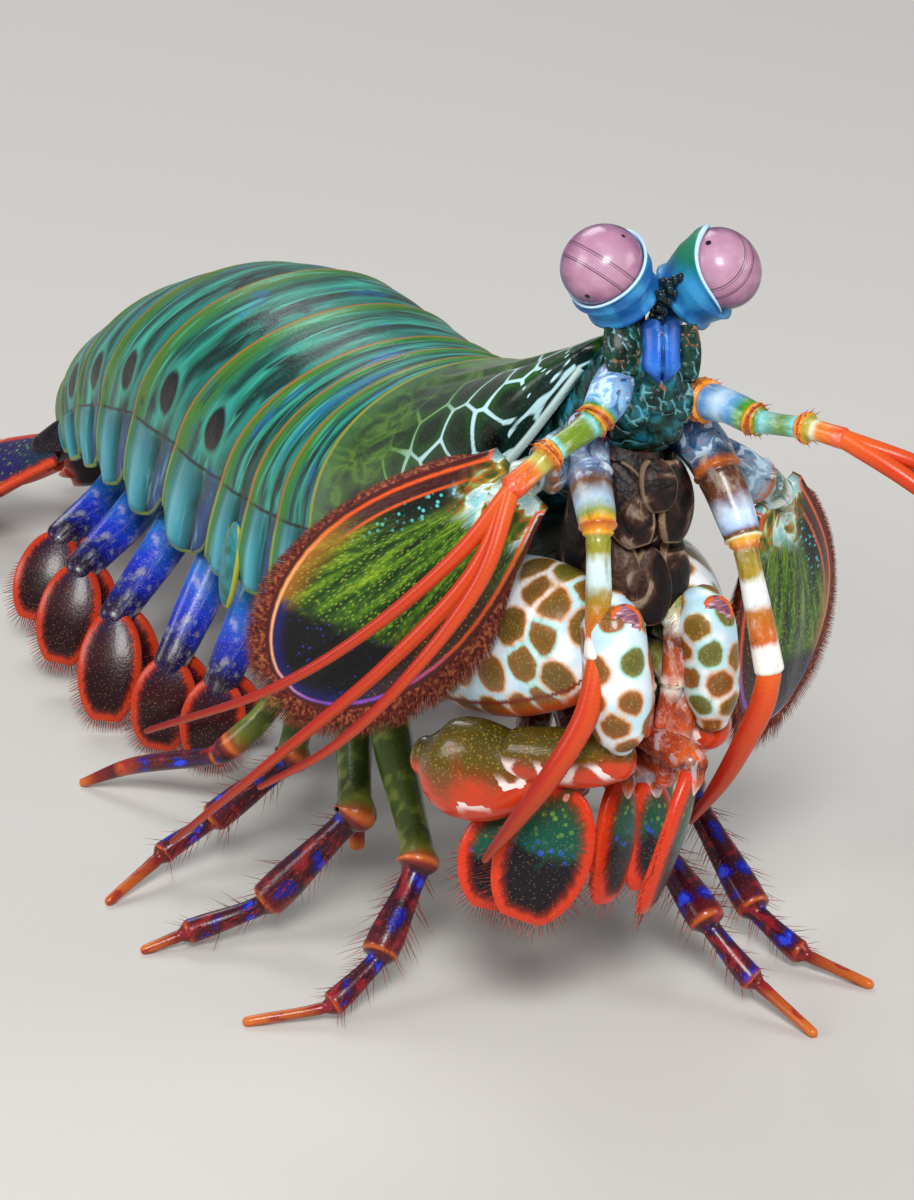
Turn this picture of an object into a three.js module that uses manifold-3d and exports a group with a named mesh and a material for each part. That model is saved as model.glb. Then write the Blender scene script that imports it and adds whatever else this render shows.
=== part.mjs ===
// Peacock mantis shrimp, life size, as a still museum model standing on its walking legs and tail fan.
// Millimetres. +Z is up, the head faces -Y, and +X is the animal's own left.
import * as THREE from "three";
import { mergeVertices } from "three/addons/utils/BufferGeometryUtils.js";
import Module from "manifold-3d";

const wasm = await Module();
wasm.setup();

// Driving dimensions
const GAP = 0.3;
const SINK = 1.2;
const EYE_RADIUS = 3.75;
const EYE_CUP_LENGTH = 4.7;
const SCALE_THICKNESS = 1.3;
const SCALE_BRISTLE = 2.9;
const SETA_WIDTH = 0.9;
const PLEURON_WALL = 1.5;
const MERGE = 0.04;

// The trunk behind the head shield: one row for each plane between two somites, from front to back.
// y and x place the plane, top is the height of the back, half is the half width and dome the height of its
// arch, belly the depth of the underside below the arch's foot, and lobe how far the side plate hangs lower.
// tilt leans the whole plane, in degrees, and sweep carries its flanks back by that share of their drop.
const TRUNK = [
  { y: 36, x: 16.8, top: 52.8, half: 15.6, dome: 15.5, belly: 9, tilt: -12, sweep: 0 },
  { y: 42, x: 16.9, top: 52, half: 15.8, dome: 16, belly: 9.5, tilt: -14, sweep: 0.1 },
  { y: 48, x: 17, top: 51.2, half: 16, dome: 16, belly: 9.5, tilt: -15, sweep: 0.2 },
  { y: 54, x: 17.1, top: 50.7, half: 16.1, dome: 16, belly: 9.5, tilt: -15, sweep: 0.3 },
  { y: 66, x: 17.4, top: 50.3, half: 16.4, dome: 16, belly: 9.2, tilt: -12, sweep: 0.4 },
  { y: 80, x: 18, top: 49.4, half: 16.6, dome: 16, belly: 8.4, tilt: -5, sweep: 0.42 },
  { y: 94, x: 18.6, top: 45.8, half: 16.4, dome: 15.5, belly: 6.8, tilt: 4, sweep: 0.4 },
  { y: 107, x: 19.2, top: 40.4, half: 16, dome: 14, belly: 5, tilt: 14, sweep: 0.34 },
  { y: 119, x: 19.6, top: 33.8, half: 15, dome: 12, belly: 4, tilt: 24, sweep: 0.26 },
  { y: 129, x: 19.8, top: 27.6, half: 13, dome: 10, belly: 3.2, tilt: 32, sweep: 0.18 },
];
const SOMITES = [
  { name: "thorax_6", lobe: 1, lobeAt: 0.6, lobeHalf: 0.5 },
  { name: "thorax_7", lobe: 2.2, lobeAt: 0.6, lobeHalf: 0.5 },
  { name: "thorax_8", lobe: 3, lobeAt: 0.6, lobeHalf: 0.5 },
  { name: "abdomen_1", lobe: 4, lobeAt: 0.55, lobeHalf: 0.42 },
  { name: "abdomen_2", lobe: 4.2, lobeAt: 0.6, lobeHalf: 0.42 },
  { name: "abdomen_3", lobe: 3.6, lobeAt: 0.6, lobeHalf: 0.42 },
  { name: "abdomen_4", lobe: 3, lobeAt: 0.6, lobeHalf: 0.42 },
  { name: "abdomen_5", lobe: 2.4, lobeAt: 0.6, lobeHalf: 0.42 },
  { name: "abdomen_6", lobe: 1, lobeAt: 0.6, lobeHalf: 0.42 },
];

const COLOURS = {
  shell: 0x2f7f6e,
  carapace: 0x4b6a1e,
  head: 0x2a6f9c,
  cornea: 0xb08aa0,
  cup: 0x2f7fb5,
  banded: 0x9a8a2e,
  feeler: 0xd8381c,
  scale: 0x3f6a12,
  spotted: 0xb9a489,
  club: 0xc8582a,
  paddle: 0x5a1420,
  leg: 0x3a1640,
  mouth: 0x6b4430,
  swimmeret: 0x6a1a18,
  fan: 0x2a1040,
};

// Vector helpers
const vec = (p) => new THREE.Vector3(p[0], p[1], p[2]);
const unit = (p) => vec(p).normalize();
const UP = new THREE.Vector3(0, 0, 1);

// A closed solid from a BufferGeometry whose faces may point either way.
function solidOf(geometry) {
  const bare = geometry.index ? geometry.toNonIndexed() : geometry;
  const only = new THREE.BufferGeometry().setAttribute("position", bare.getAttribute("position"));
  const merged = mergeVertices(only, 1e-4);
  const build = (triVerts) =>
    new wasm.Manifold(
      new wasm.Mesh({ numProp: 3, vertProperties: merged.attributes.position.array, triVerts }),
    );
  const triangles = new Uint32Array(merged.index.array);
  const made = build(triangles);
  if (made.volume() > 0) return made;
  for (let i = 0; i < triangles.length; i += 3)
    [triangles[i + 1], triangles[i + 2]] = [triangles[i + 2], triangles[i + 1]];
  return build(triangles);
}

// Skins a row of rings with faces. A ring of one point is a tip. With alike, the second half of each ring
// has its diagonals the other way, so that a thin blade is split alike on both faces.
function loft(rings, alike = false) {
  const points = [];
  const index = [];
  const starts = rings.map((ring) => {
    const start = points.length;
    points.push(...ring);
    return start;
  });
  for (let i = 0; i < rings.length - 1; i++) {
    const n = Math.max(rings[i].length, rings[i + 1].length);
    for (let k = 0; k < n; k++) {
      const next = (k + 1) % n;
      const a = starts[i] + (rings[i].length > 1 ? k : 0);
      const b = starts[i] + (rings[i].length > 1 ? next : 0);
      const c = starts[i + 1] + (rings[i + 1].length > 1 ? k : 0);
      const d = starts[i + 1] + (rings[i + 1].length > 1 ? next : 0);
      if (a === b) index.push(a, d, c);
      else if (c === d) index.push(a, b, c);
      else if (alike && k >= n / 2) index.push(a, b, c, b, d, c);
      else index.push(a, b, d, a, d, c);
    }
  }
  const cap = (ring, start, flip) => {
    if (ring.length === 1) return;
    const centre = ring.reduce((sum, p) => sum.add(p), new THREE.Vector3()).divideScalar(ring.length);
    points.push(centre);
    const middle = points.length - 1;
    for (let k = 0; k < ring.length; k++) {
      const next = (k + 1) % ring.length;
      if (flip) index.push(middle, start + next, start + k);
      else index.push(middle, start + k, start + next);
    }
  };
  cap(rings[0], starts[0], true);
  cap(rings[rings.length - 1], starts[rings.length - 1], false);
  const geometry = new THREE.BufferGeometry();
  geometry.setAttribute(
    "position",
    new THREE.Float32BufferAttribute(points.flatMap((p) => [p.x, p.y, p.z]), 3),
  );
  geometry.setIndex(index);
  return solidOf(geometry);
}

// A bent limb through its joints. Each joint is [x, y, z, radius, flatness]; flatness is the share of the
// radius across the limb's side axis. grow widens it and carries its ends on, to cut the socket that it sits in.
function limb(joints, { sides = 8, side = [1, 0, 0], grow = 0, pointed = false } = {}) {
  const at = joints.map(vec);
  const last = at.length - 1;
  const heading = at.map((p, i) =>
    at[Math.min(i + 1, last)].clone().sub(at[Math.max(i - 1, 0)]).normalize(),
  );
  at[0].addScaledVector(heading[0], -grow);
  at[last].addScaledVector(heading[last], grow);
  let across = vec(side);
  const rings = at.map((p, i) => {
    across = across.clone().addScaledVector(heading[i], -across.dot(heading[i])).normalize();
    const over = new THREE.Vector3().crossVectors(heading[i], across);
    const radius = joints[i][3] + grow;
    const flat = joints[i][3] * (joints[i][4] ?? 1) + grow;
    if (pointed && i === last) return [p.clone()];
    return Array.from({ length: sides }, (_, k) => {
      const angle = (2 * Math.PI * (k + 0.5)) / sides;
      return p
        .clone()
        .addScaledVector(across, flat * Math.cos(angle))
        .addScaledVector(over, radius * Math.sin(angle));
    });
  });
  return loft(rings);
}

// Joints resampled along a smooth curve, for feelers.
function smooth(joints, count) {
  const curve = new THREE.CatmullRomCurve3(joints.map(vec), false, "centripetal");
  return Array.from({ length: count }, (_, i) => {
    const t = i / (count - 1);
    const p = curve.getPoint(t);
    const place = t * (joints.length - 1);
    const k = Math.min(Math.floor(place), joints.length - 2);
    const radius = joints[k][3] + (joints[k + 1][3] - joints[k][3]) * (place - k);
    return [p.x, p.y, p.z, radius];
  });
}

// A leaf-shaped plate from its root to its tip. widthAt gives the half width along it as a share of half,
// facing is the way its broad side looks, and bow is how far it bulges that way at mid length.
function plate({ root, tip, half, thick, facing, bow = 0, rows = 8, widthAt, fine = true, grow = 0 }) {
  const from = vec(root);
  const along = vec(tip).sub(from);
  const length = along.length();
  along.normalize();
  from.addScaledVector(along, -grow);
  const normal = unit(facing);
  normal.addScaledVector(along, -normal.dot(along)).normalize();
  const across = new THREE.Vector3().crossVectors(normal, along);
  const share = fine ? [-1, -0.62, 0, 0.62, 1, 0.62, 0, -0.62] : [-1, -0.4, 0.4, 1, 0.4, -0.4];
  const lift = fine ? [0, 0.8, 1, 0.8, 0, -0.8, -1, -0.8] : [0, 1, 1, 0, -1, -1];
  const rings = [];
  for (let i = 0; i <= rows; i++) {
    const u = i / rows;
    const width = half * widthAt(u) + grow;
    const depth = thick / 2 + grow;
    const centre = from
      .clone()
      .addScaledVector(along, u * (length + 2 * grow))
      .addScaledVector(normal, bow * Math.sin(Math.PI * u));
    rings.push(
      share.map((s, k) =>
        centre
          .clone()
          .addScaledVector(across, s * width)
          .addScaledVector(normal, lift[k] * depth - (bow * 0.5 * s * s * width) / half),
      ),
    );
  }
  return loft(rings, true);
}
function tongue(u) {
  const round = Math.sqrt(1 - Math.max(0, (u - 0.55) / 0.46) ** 2);
  return Math.max(0.2, round * (0.55 + 0.45 * Math.min(1, u / 0.4)));
}
const oval = (u) => Math.max(0.22, Math.sqrt(Math.max(0, 1 - ((u - 0.52) / 0.53) ** 2)));

// A flat, tapered bristle with its root sunk in what it grows from.
function seta({ root, along, length, facing, width = SETA_WIDTH, thick = 0.5, sink = SINK, grow = 0 }) {
  const way = unit(along);
  const normal = unit(facing);
  normal.addScaledVector(way, -normal.dot(way)).normalize();
  const across = new THREE.Vector3().crossVectors(normal, way);
  const foot = vec(root).addScaledVector(way, -sink);
  const ring = [
    foot.clone().addScaledVector(across, -width / 2 - 2 * grow),
    foot.clone().addScaledVector(normal, thick / 2 + 2 * grow),
    foot.clone().addScaledVector(across, width / 2 + 2 * grow),
    foot.clone().addScaledVector(normal, -thick / 2 - 2 * grow),
  ];
  return loft([ring, [vec(root).addScaledVector(way, length + 2 * grow)]]);
}

// The closed surface with the most volume, so that a scrap or a sealed hollow is dropped.
function largest(made) {
  const parts = made.decompose();
  return parts.reduce((best, p) => (p.volume() > best.volume() ? p : best), parts[0]);
}
const fuse = (pieces) => largest(wasm.Manifold.union(pieces));

// An eased step, used to shape outlines.
const bump = (u, centre, half) => Math.sqrt(Math.max(0, 1 - ((u - centre) / half) ** 2));

// Frame of the trunk at a plane: its middle and its way up, which leans back by the plane's tilt.
function trunkFrame(row) {
  const lean = (row.tilt * Math.PI) / 180;
  return {
    middle: new THREE.Vector3(row.x, row.y, row.top - row.dome),
    left: new THREE.Vector3(1, 0, 0),
    up: new THREE.Vector3(0, Math.sin(lean), Math.cos(lean)),
  };
}

// The arched section of a body ring, from the right side over the back to the left and under the belly.
function arch({ middle, left, up }, { half, dome, belly, skirt, wall, sweep }) {
  const steps = 12;
  const outline = [
    [-half * 0.99, -skirt],
    [-half * 1.01, -skirt * 0.5],
  ];
  for (let k = 0; k <= steps; k++) {
    const angle = Math.PI * (1 - k / steps);
    outline.push([half * Math.cos(angle), dome * Math.sin(angle) ** 0.9]);
  }
  outline.push([half * 1.01, -skirt * 0.5], [half * 0.99, -skirt]);
  outline.push([half - wall, -skirt], [half - wall * 1.6, -belly * 0.9]);
  outline.push([half * 0.5, -belly], [0, -belly * 1.06], [-half * 0.5, -belly]);
  outline.push([-half + wall * 1.6, -belly * 0.9], [-half + wall, -skirt]);
  return outline.map(([a, b]) => {
    const p = middle.clone().addScaledVector(left, a).addScaledVector(up, b);
    p.y += sweep * (dome - b);
    return p;
  });
}

// One body ring between two planes. Its back edge stands a little proud of the ring behind it.
function somite(i, grow = 0) {
  const spec = SOMITES[i];
  const front = TRUNK[i];
  const back = TRUNK[i + 1];
  const frontFrame = trunkFrame(front);
  const backFrame = trunkFrame(back);
  const span = back.y - front.y;
  const rings = [0, 0.22, 0.5, 0.8, 1].map((u) => {
    const t = (GAP / 2 - grow + u * (span - GAP + 2 * grow)) / span;
    const mix = (a, b) => a + (b - a) * t;
    const frame = {
      middle: frontFrame.middle.clone().lerp(backFrame.middle, t),
      left: frontFrame.left,
      up: frontFrame.up.clone().lerp(backFrame.up, t).normalize(),
    };
    const proud = 0.35 * u + grow;
    const belly = mix(front.belly, back.belly) + grow;
    return arch(frame, {
      half: mix(front.half, back.half) + proud,
      dome: mix(front.dome, back.dome) + proud,
      belly,
      skirt: belly + 0.2 + spec.lobe * bump(u, spec.lobeAt, spec.lobeHalf),
      wall: PLEURON_WALL + 2 * grow,
      sweep: mix(front.sweep, back.sweep),
    });
  });
  return loft(rings);
}

// Head shield: one row for each section, from its front edge to its back edge.
const SHIELD = [
  { y: -1, x: 15.6, top: 66.2, half: 4.2, dome: 2.2, skirt: 0.8, hollow: 0.4, lean: 0, depth: 2 },
  { y: 1.5, x: 15.6, top: 65.5, half: 8.2, dome: 7.4, skirt: 1.6, hollow: 4, lean: 0.1, depth: 6.5 },
  { y: 6, x: 15.7, top: 64, half: 11.6, dome: 11, skirt: 3.2, hollow: 6, lean: 0.2, depth: 10 },
  { y: 14, x: 16, top: 61.2, half: 13.8, dome: 13.6, skirt: 6.4, hollow: 7, lean: 0.28, depth: 11 },
  { y: 23, x: 16.3, top: 57.8, half: 15.2, dome: 15, skirt: 8, hollow: 8, lean: 0.28, depth: 11.6 },
  { y: 31, x: 16.6, top: 54.8, half: 16, dome: 15.8, skirt: 8.6, hollow: 8, lean: 0.25, depth: 10.6 },
  { y: 35.9, x: 16.8, top: 53.4, half: 16.2, dome: 15.8, skirt: 7, hollow: 8, lean: 0.21, depth: 9.4 },
];
function shieldSection({ y, x, top, half, dome, skirt, hollow, lean }, grow = 0) {
  const steps = 14;
  const place = (a, b) => new THREE.Vector3(x + a, y - b * lean, top - dome + b);
  const outline = [place(-half * 0.97 - grow, -skirt - grow)];
  for (let k = 0; k <= steps; k++) {
    const angle = Math.PI * (1 - k / steps);
    outline.push(place((half + grow) * Math.cos(angle), (dome + grow) * Math.sin(angle) ** 0.85));
  }
  outline.push(place(half * 0.97 + grow, -skirt - grow));
  outline.push(place(half * 0.86 - grow, -skirt - grow), place(half * 0.6, hollow * 0.6 - grow));
  outline.push(place(0, hollow - grow));
  outline.push(place(-half * 0.6, hollow * 0.6 - grow), place(-half * 0.86 + grow, -skirt - grow));
  return outline;
}
function shield(grow) {
  const made = loft(SHIELD.map((row) => shieldSection(row, grow)));
  return grow ? fuse([made, made.translate([0, -grow, 0])]) : made;
}

// The fore body fills the shield from below and hangs under its rim.
function foreBody(grow = 0) {
  const clear = 0.45 - grow;
  return loft(
    SHIELD.slice(1).map(({ y, x, top, half, dome, skirt, hollow, lean, depth }) =>
      [
        [-half * 0.86 + clear * 1.5, -skirt - clear],
        [-half * 0.6 + clear, hollow * 0.6 - clear],
        [0, hollow - clear],
        [half * 0.6 - clear, hollow * 0.6 - clear],
        [half * 0.86 - clear * 1.5, -skirt - clear],
        [half * 0.72 + grow, -depth * 0.84 - grow],
        [half * 0.34 + grow, -depth - grow],
        [-half * 0.34 - grow, -depth - grow],
        [-half * 0.72 - grow, -depth * 0.84 - grow],
      ].map(([a, b]) => new THREE.Vector3(x + a, y - b * lean, top - dome + b)),
    ),
  );
}

// The head in front of the shield, from the face to inside the fore body.
const FACE = [
  [15.6, -8.2, 65, 3.4, 0.62],
  [15.7, -6.8, 64, 4.6, 0.8],
  [15.8, -3.8, 61.4, 5.4, 0.82],
  [15.8, 0, 57.6, 5.6, 1],
  [15.8, 4, 53.4, 5.4, 1.2],
];
// Two lobes of the heart-shaped plate between the eyes.
const HEART = [
  [[14.2, -6.4, 69.2, 1.1], [13.9, -7.8, 67.6, 1.5], [14.6, -8.8, 65.2, 1.4], [15.2, -8.9, 63.2, 0.7]],
  [[17, -6.3, 69, 1.1], [17.3, -7.7, 67.4, 1.5], [16.6, -8.8, 65.1, 1.4], [15.9, -8.9, 63.2, 0.7]],
];
function head(grow = 0) {
  return fuse([
    limb(FACE, { sides: 12, grow }),
    foreBody(grow),
    ...HEART.map((lobe) => limb(lobe, { sides: 7, grow })),
    limb(
      [
        [15.7, -6, 61.8, 2.8, 0.9],
        [16, -7.9, 60.6, 2.6, 0.9],
        [16.2, -8.2, 58.8, 1.8, 0.9],
      ],
      { sides: 8, grow },
    ),
  ]);
}

// Eyes: centre of the bulging cornea and the way its stalk points.
const EYES = {
  right: { centre: [11.4, -5.3, 74.1], axis: [-0.578, -0.21, 0.79], foot: [14.2, -5.2, 67] },
  left: { centre: [22.6, -6.5, 72.7], axis: [0.554, -0.514, 0.654], foot: [17, -5.2, 66.8] },
};
const CORNEA_DEPTH = 0.88;
const EYE_SIDES = 14;
function cornea({ centre, axis }, grow = 0) {
  const sphere = new THREE.SphereGeometry(1, 16, 10);
  const reach = EYE_RADIUS + grow;
  sphere.scale(reach * 0.97, reach * 1.03, EYE_RADIUS * CORNEA_DEPTH + grow);
  sphere.applyQuaternion(new THREE.Quaternion().setFromUnitVectors(UP, unit(axis)));
  sphere.translate(...centre);
  return solidOf(sphere);
}
// Rings of the stalk and cup: outside from the foot to the lip, then back down inside the cup.
function eyeCup(eye, grow = 0) {
  const centre = vec(eye.centre);
  const axis = unit(eye.axis);
  const turn = new THREE.Quaternion().setFromUnitVectors(UP, axis);
  const ring = (distance, radius) =>
    Array.from({ length: EYE_SIDES }, (_, k) => {
      const angle = (2 * Math.PI * k) / EYE_SIDES;
      return new THREE.Vector3(Math.cos(angle), Math.sin(angle), 0)
        .multiplyScalar(radius)
        .applyQuaternion(turn)
        .addScaledVector(axis, -distance)
        .add(centre);
    });
  const hollow = EYE_RADIUS * 1.03 + GAP + 0.2;
  const depth = EYE_RADIUS * CORNEA_DEPTH + GAP + 0.2;
  const wall = (distance) => hollow * Math.sqrt(Math.max(0, 1 - (distance / depth) ** 2));
  const lip = 0.7;
  const outside = [
    [EYE_CUP_LENGTH + 0.9, 1.9],
    [EYE_CUP_LENGTH + 0.1, 2.3],
    [EYE_CUP_LENGTH, 3.15],
    [EYE_CUP_LENGTH - 0.6, 3.3],
    [EYE_CUP_LENGTH * 0.6, 3.65],
    [1.5, 4.1],
    [lip, wall(lip) + 0.25],
  ].map(([distance, radius]) => ring(distance, radius + grow));
  const inside = grow
    ? [[axis.clone().multiplyScalar(-lip).add(centre)]]
    : [
        ring(lip + 0.1, wall(lip + 0.1)),
        ring(2.3, wall(2.3)),
        [axis.clone().multiplyScalar(-depth).add(centre)],
      ];
  const foot = vec(eye.foot);
  const neck = axis.clone().multiplyScalar(-EYE_CUP_LENGTH - 0.9).add(centre);
  const rise = neck.sub(foot).normalize();
  const tilt = new THREE.Quaternion().setFromUnitVectors(axis, rise);
  const settle = (p) => p.sub(centre).applyQuaternion(tilt).add(foot).addScaledVector(rise, -grow);
  const base = ring(0, 1.7 + grow).map(settle);
  return loft([base, ...outside, ...inside]);
}

// Feelers of the first pair: a banded stem of three joints, then three whips.
const ANTENNULES = {
  right: {
    stem: [
      [14, -4.6, 63.4, 1.9],
      [12.2, -6.6, 63.4, 2],
      [10.5, -8.2, 62.6, 1.85],
      [9.2, -9, 61.6, 1.5],
      [8.8, -9.2, 61.3, 1.3],
      [4.3, -10.1, 59.5, 1.15],
      [3.8, -10.2, 59.2, 1.35],
      [3.3, -10.3, 58.9, 1.1],
      [0.3, -10.6, 57, 1.15],
    ],
    whips: [
      [
        [0.3, -10.6, 57, 0.8],
        [-4, -9.6, 51.6, 0.7],
        [-10.8, -5, 43.6, 0.55],
        [-17.4, 1, 37, 0.45],
        [-25.4, 12.6, 29.6, 0.28],
      ],
      [
        [0.3, -10.6, 57, 0.85],
        [-3.2, -11, 50.4, 0.8],
        [-9.6, -8.4, 42.4, 0.65],
        [-17.2, -1, 31.8, 0.5],
        [-24, 10.6, 19, 0.3],
      ],
      [
        [0.3, -10.6, 57, 0.8],
        [-3.4, -12.4, 50, 0.7],
        [-10, -10.4, 40.6, 0.55],
        [-14.6, -5, 33, 0.45],
        [-19, 1, 27.6, 0.28],
      ],
    ],
  },
  left: {
    stem: [
      [17.4, -4.4, 62.4, 1.8],
      [19.2, -6.8, 61.6, 1.8],
      [19.9, -9, 61.6, 1.75],
      [20.4, -12.3, 62, 1.5],
      [21.2, -15, 61.7, 1.4],
      [21.5, -15.8, 61.6, 1.1],
      [23.1, -20.2, 62.2, 1],
      [23.4, -20.9, 62.3, 1.2],
      [23.7, -21.6, 62.3, 0.95],
      [24.9, -24.2, 62.2, 0.95],
    ],
    whips: [
      [
        [24.9, -24.2, 62.2, 0.8],
        [29.2, -28, 60.8, 0.7],
        [37.4, -31.5, 57, 0.55],
        [46, -31.5, 51, 0.42],
        [55, -27, 44, 0.26],
      ],
      [
        [24.9, -24.2, 62.2, 0.85],
        [28.4, -29, 59.6, 0.8],
        [34, -35, 54.4, 0.6],
        [41, -39, 46.6, 0.45],
        [48.6, -40.6, 38, 0.28],
      ],
      [
        [24.9, -24.2, 62.2, 0.8],
        [29.6, -26.6, 59.2, 0.7],
        [37, -27.4, 52, 0.55],
        [43, -24.4, 45, 0.42],
        [47.4, -18.6, 39, 0.26],
      ],
    ],
  },
};

// Feelers of the second pair: a stem that hangs before the mouth, one whip, and a broad scale outside it.
const ANTENNAE = {
  right: {
    stem: [
      [11.8, -2.4, 58, 2.2],
      [10.2, -4.9, 57, 2.2],
      [9.2, -8, 55.2, 1.9],
      [8.2, -11.4, 52.6, 1.6],
      [8, -11.9, 51.8, 1.2],
      [7.3, -13.6, 46, 1.2],
      [6.9, -14.5, 41.8, 1.3],
    ],
    whip: [
      [6.9, -14.6, 41.6, 1.05],
      [5.2, -15.6, 36.8, 1.1],
      [2.2, -15, 31.4, 1],
      [0, -12.8, 26.6, 0.8],
      [-1.9, -10.2, 21.9, 0.35],
    ],
  },
  left: {
    stem: [
      [19, -3.4, 58.4, 2.3],
      [20.8, -6.4, 57, 2.3],
      [21.3, -9.9, 54.2, 2],
      [21.7, -13.2, 50, 1.6],
      [21.7, -13.7, 49.2, 1.2],
      [22.1, -15.6, 44, 1.2],
      [22.6, -17.1, 38.6, 1.35],
    ],
    whip: [
      [22.6, -17.2, 38.3, 1.1],
      [21.9, -17.4, 35.6, 1.15],
      [20.8, -16.3, 31.6, 1.05],
      [20, -13.8, 26.8, 0.85],
      [19.1, -10, 21.4, 0.35],
    ],
  },
};
const SCALES = {
  right: {
    root: [3.8, -5, 55.4],
    tip: [-15.4, 10.2, 31.2],
    length: 31,
    width: 16.6,
    facing: [-0.39, -0.84, 0.37],
    stalk: [9.6, -3.2, 57],
    lower: 1,
  },
  left: {
    root: [29.6, -5.8, 50.4],
    tip: [36, 4.2, 23],
    length: 29.5,
    width: 14.6,
    facing: [0.33, -0.93, 0.05],
    stalk: [22.6, -4.6, 55],
    lower: -1,
  },
};
// Half width of the scale's blade along its length, as a share of its widest.
function scaleWidth(u) {
  const swell = 0.42 + 0.58 * Math.sin((Math.PI / 2) * Math.min(1, u / 0.55));
  return swell * Math.sqrt(Math.max(0.04, 1 - (Math.max(0, u - 0.55) / 0.47) ** 2));
}
function antennalScale({ root, tip, length, width, facing, stalk, lower }, grow = 0) {
  const start = vec(root);
  const along = vec(tip).sub(start).normalize();
  const half = width / 2;
  const bow = 1.2;
  const end = start.clone().addScaledVector(along, length).toArray();
  const shape = { thick: SCALE_THICKNESS, facing, bow, rows: 9, widthAt: scaleWidth, grow };
  const blade = plate({ ...shape, root, tip: end, half });
  const elbow = vec(stalk).lerp(start, 0.6).add(new THREE.Vector3(0, -1, 0));
  const socket = start.clone().addScaledVector(along, 1.6);
  const arm = limb(
    [
      [...stalk, 1.9],
      [...elbow.toArray(), 2],
      [...socket.toArray(), 1.3],
    ],
    { grow, sides: 7 },
  );
  const normal = unit(facing);
  normal.addScaledVector(along, -normal.dot(along)).normalize();
  const across = new THREE.Vector3().crossVectors(normal, along);
  const edge = (u, sign) => {
    const share = scaleWidth(u);
    return start
      .clone()
      .addScaledVector(along, u * length)
      .addScaledVector(across, sign * half * share)
      .addScaledVector(normal, bow * (Math.sin(Math.PI * u) - 0.5 * share));
  };
  // Bristles stand long along the lower edge and round the tip, and short along the upper edge.
  const hairs = [];
  for (const { sign, first, count, reach } of [
    { sign: -lower, first: 0.36, count: 7, reach: 0.5 },
    { sign: lower, first: 0.28, count: 9, reach: 1 },
  ]) {
    for (let i = 0; i < count; i++) {
      const u = first + ((0.995 - first) * i) / (count - 1);
      const tangent = edge(Math.min(1, u + 0.01), sign).sub(edge(u - 0.01, sign)).normalize();
      const out = new THREE.Vector3().crossVectors(tangent, normal).multiplyScalar(-sign).normalize();
      hairs.push(
        seta({
          root: edge(u, sign).addScaledVector(out, -0.3).toArray(),
          along: out.addScaledVector(tangent, 0.45).toArray(),
          length: SCALE_BRISTLE * Math.max(reach, u > 0.8 ? 0.5 + (u - 0.8) * 2.5 : 0),
          facing,
          width: 3,
          thick: 0.6,
          grow,
        }),
      );
    }
  }
  return fuse([blade, arm, ...hairs]);
}

// Striking claws: a deep upper arm, a short knuckle, a forearm folded back under it, a club-heeled finger.
const CLAWS = {
  right: {
    arm: [
      [11.6, 17.5, 34.5, 4, 0.85],
      [7, 12.6, 34, 5, 0.76],
      [5, 7.4, 35.4, 6.4, 0.68],
      [5.4, 1, 38, 7.4, 0.6],
      [6.6, -4.6, 39.8, 7, 0.58],
      [7.8, -9.4, 41, 5.6, 0.62],
      [8.6, -12, 41.6, 3.6, 0.7],
    ],
    knuckle: [
      [8.4, -12.8, 45.6, 1.9, 1],
      [8.6, -13.4, 44.2, 2.9, 0.95],
      [8.7, -14.2, 41, 3.2, 0.9],
      [8.8, -14.6, 37, 3.3, 0.9],
      [9, -14.6, 34, 2.5, 0.9],
      [9.2, -14.4, 32.8, 1.4, 0.9],
    ],
    forearm: [
      [9.6, -13.4, 31, 2.2, 1],
      [7.9, -11.6, 30.4, 2.6, 1],
      [5.6, -8.8, 29.9, 2.7, 1],
      [3.6, -6, 29.4, 2.5, 1],
    ],
    club: [
      [4.8, -7.6, 28.2, 2, 0.8],
      [3, -5.2, 27.4, 3.9, 0.74],
      [0.8, -2.4, 26.9, 4.8, 0.7],
      [-1.2, 0.2, 26.9, 4.1, 0.7],
      [-2.4, 1.8, 27.2, 1.9, 0.75],
    ],
  },
  left: {
    arm: [
      [21.4, 17.5, 34.5, 4, 0.85],
      [25.4, 12.6, 34, 5, 0.74],
      [26, 7.4, 35, 6.2, 0.66],
      [24.2, 2, 37.4, 6.8, 0.56],
      [22, -3.4, 39.4, 6, 0.54],
      [20.4, -7.4, 40.6, 4.4, 0.6],
      [19.8, -9.4, 41, 3, 0.7],
    ],
    knuckle: [
      [19.4, -9.8, 43.2, 1.8, 1],
      [19.5, -10.6, 41.8, 2.7, 0.95],
      [19.6, -11.6, 38.4, 2.9, 0.88],
      [19.7, -12, 34.8, 2.7, 0.88],
      [19.8, -12, 32.4, 1.7, 0.9],
    ],
    forearm: [
      [20, -11, 30.9, 2, 1],
      [21, -8.8, 30.4, 2.4, 1],
      [22.2, -5.4, 29.8, 2.6, 1],
      [23.4, -2.2, 29.2, 2.4, 1],
    ],
    club: [
      [22.8, -3.2, 27.8, 2, 0.8],
      [23.8, -0.6, 27, 3.9, 0.74],
      [25, 2.6, 26.5, 4.7, 0.7],
      [26.2, 5.6, 26.5, 4, 0.7],
      [26.8, 7.4, 26.8, 1.9, 0.75],
    ],
  },
};

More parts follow.
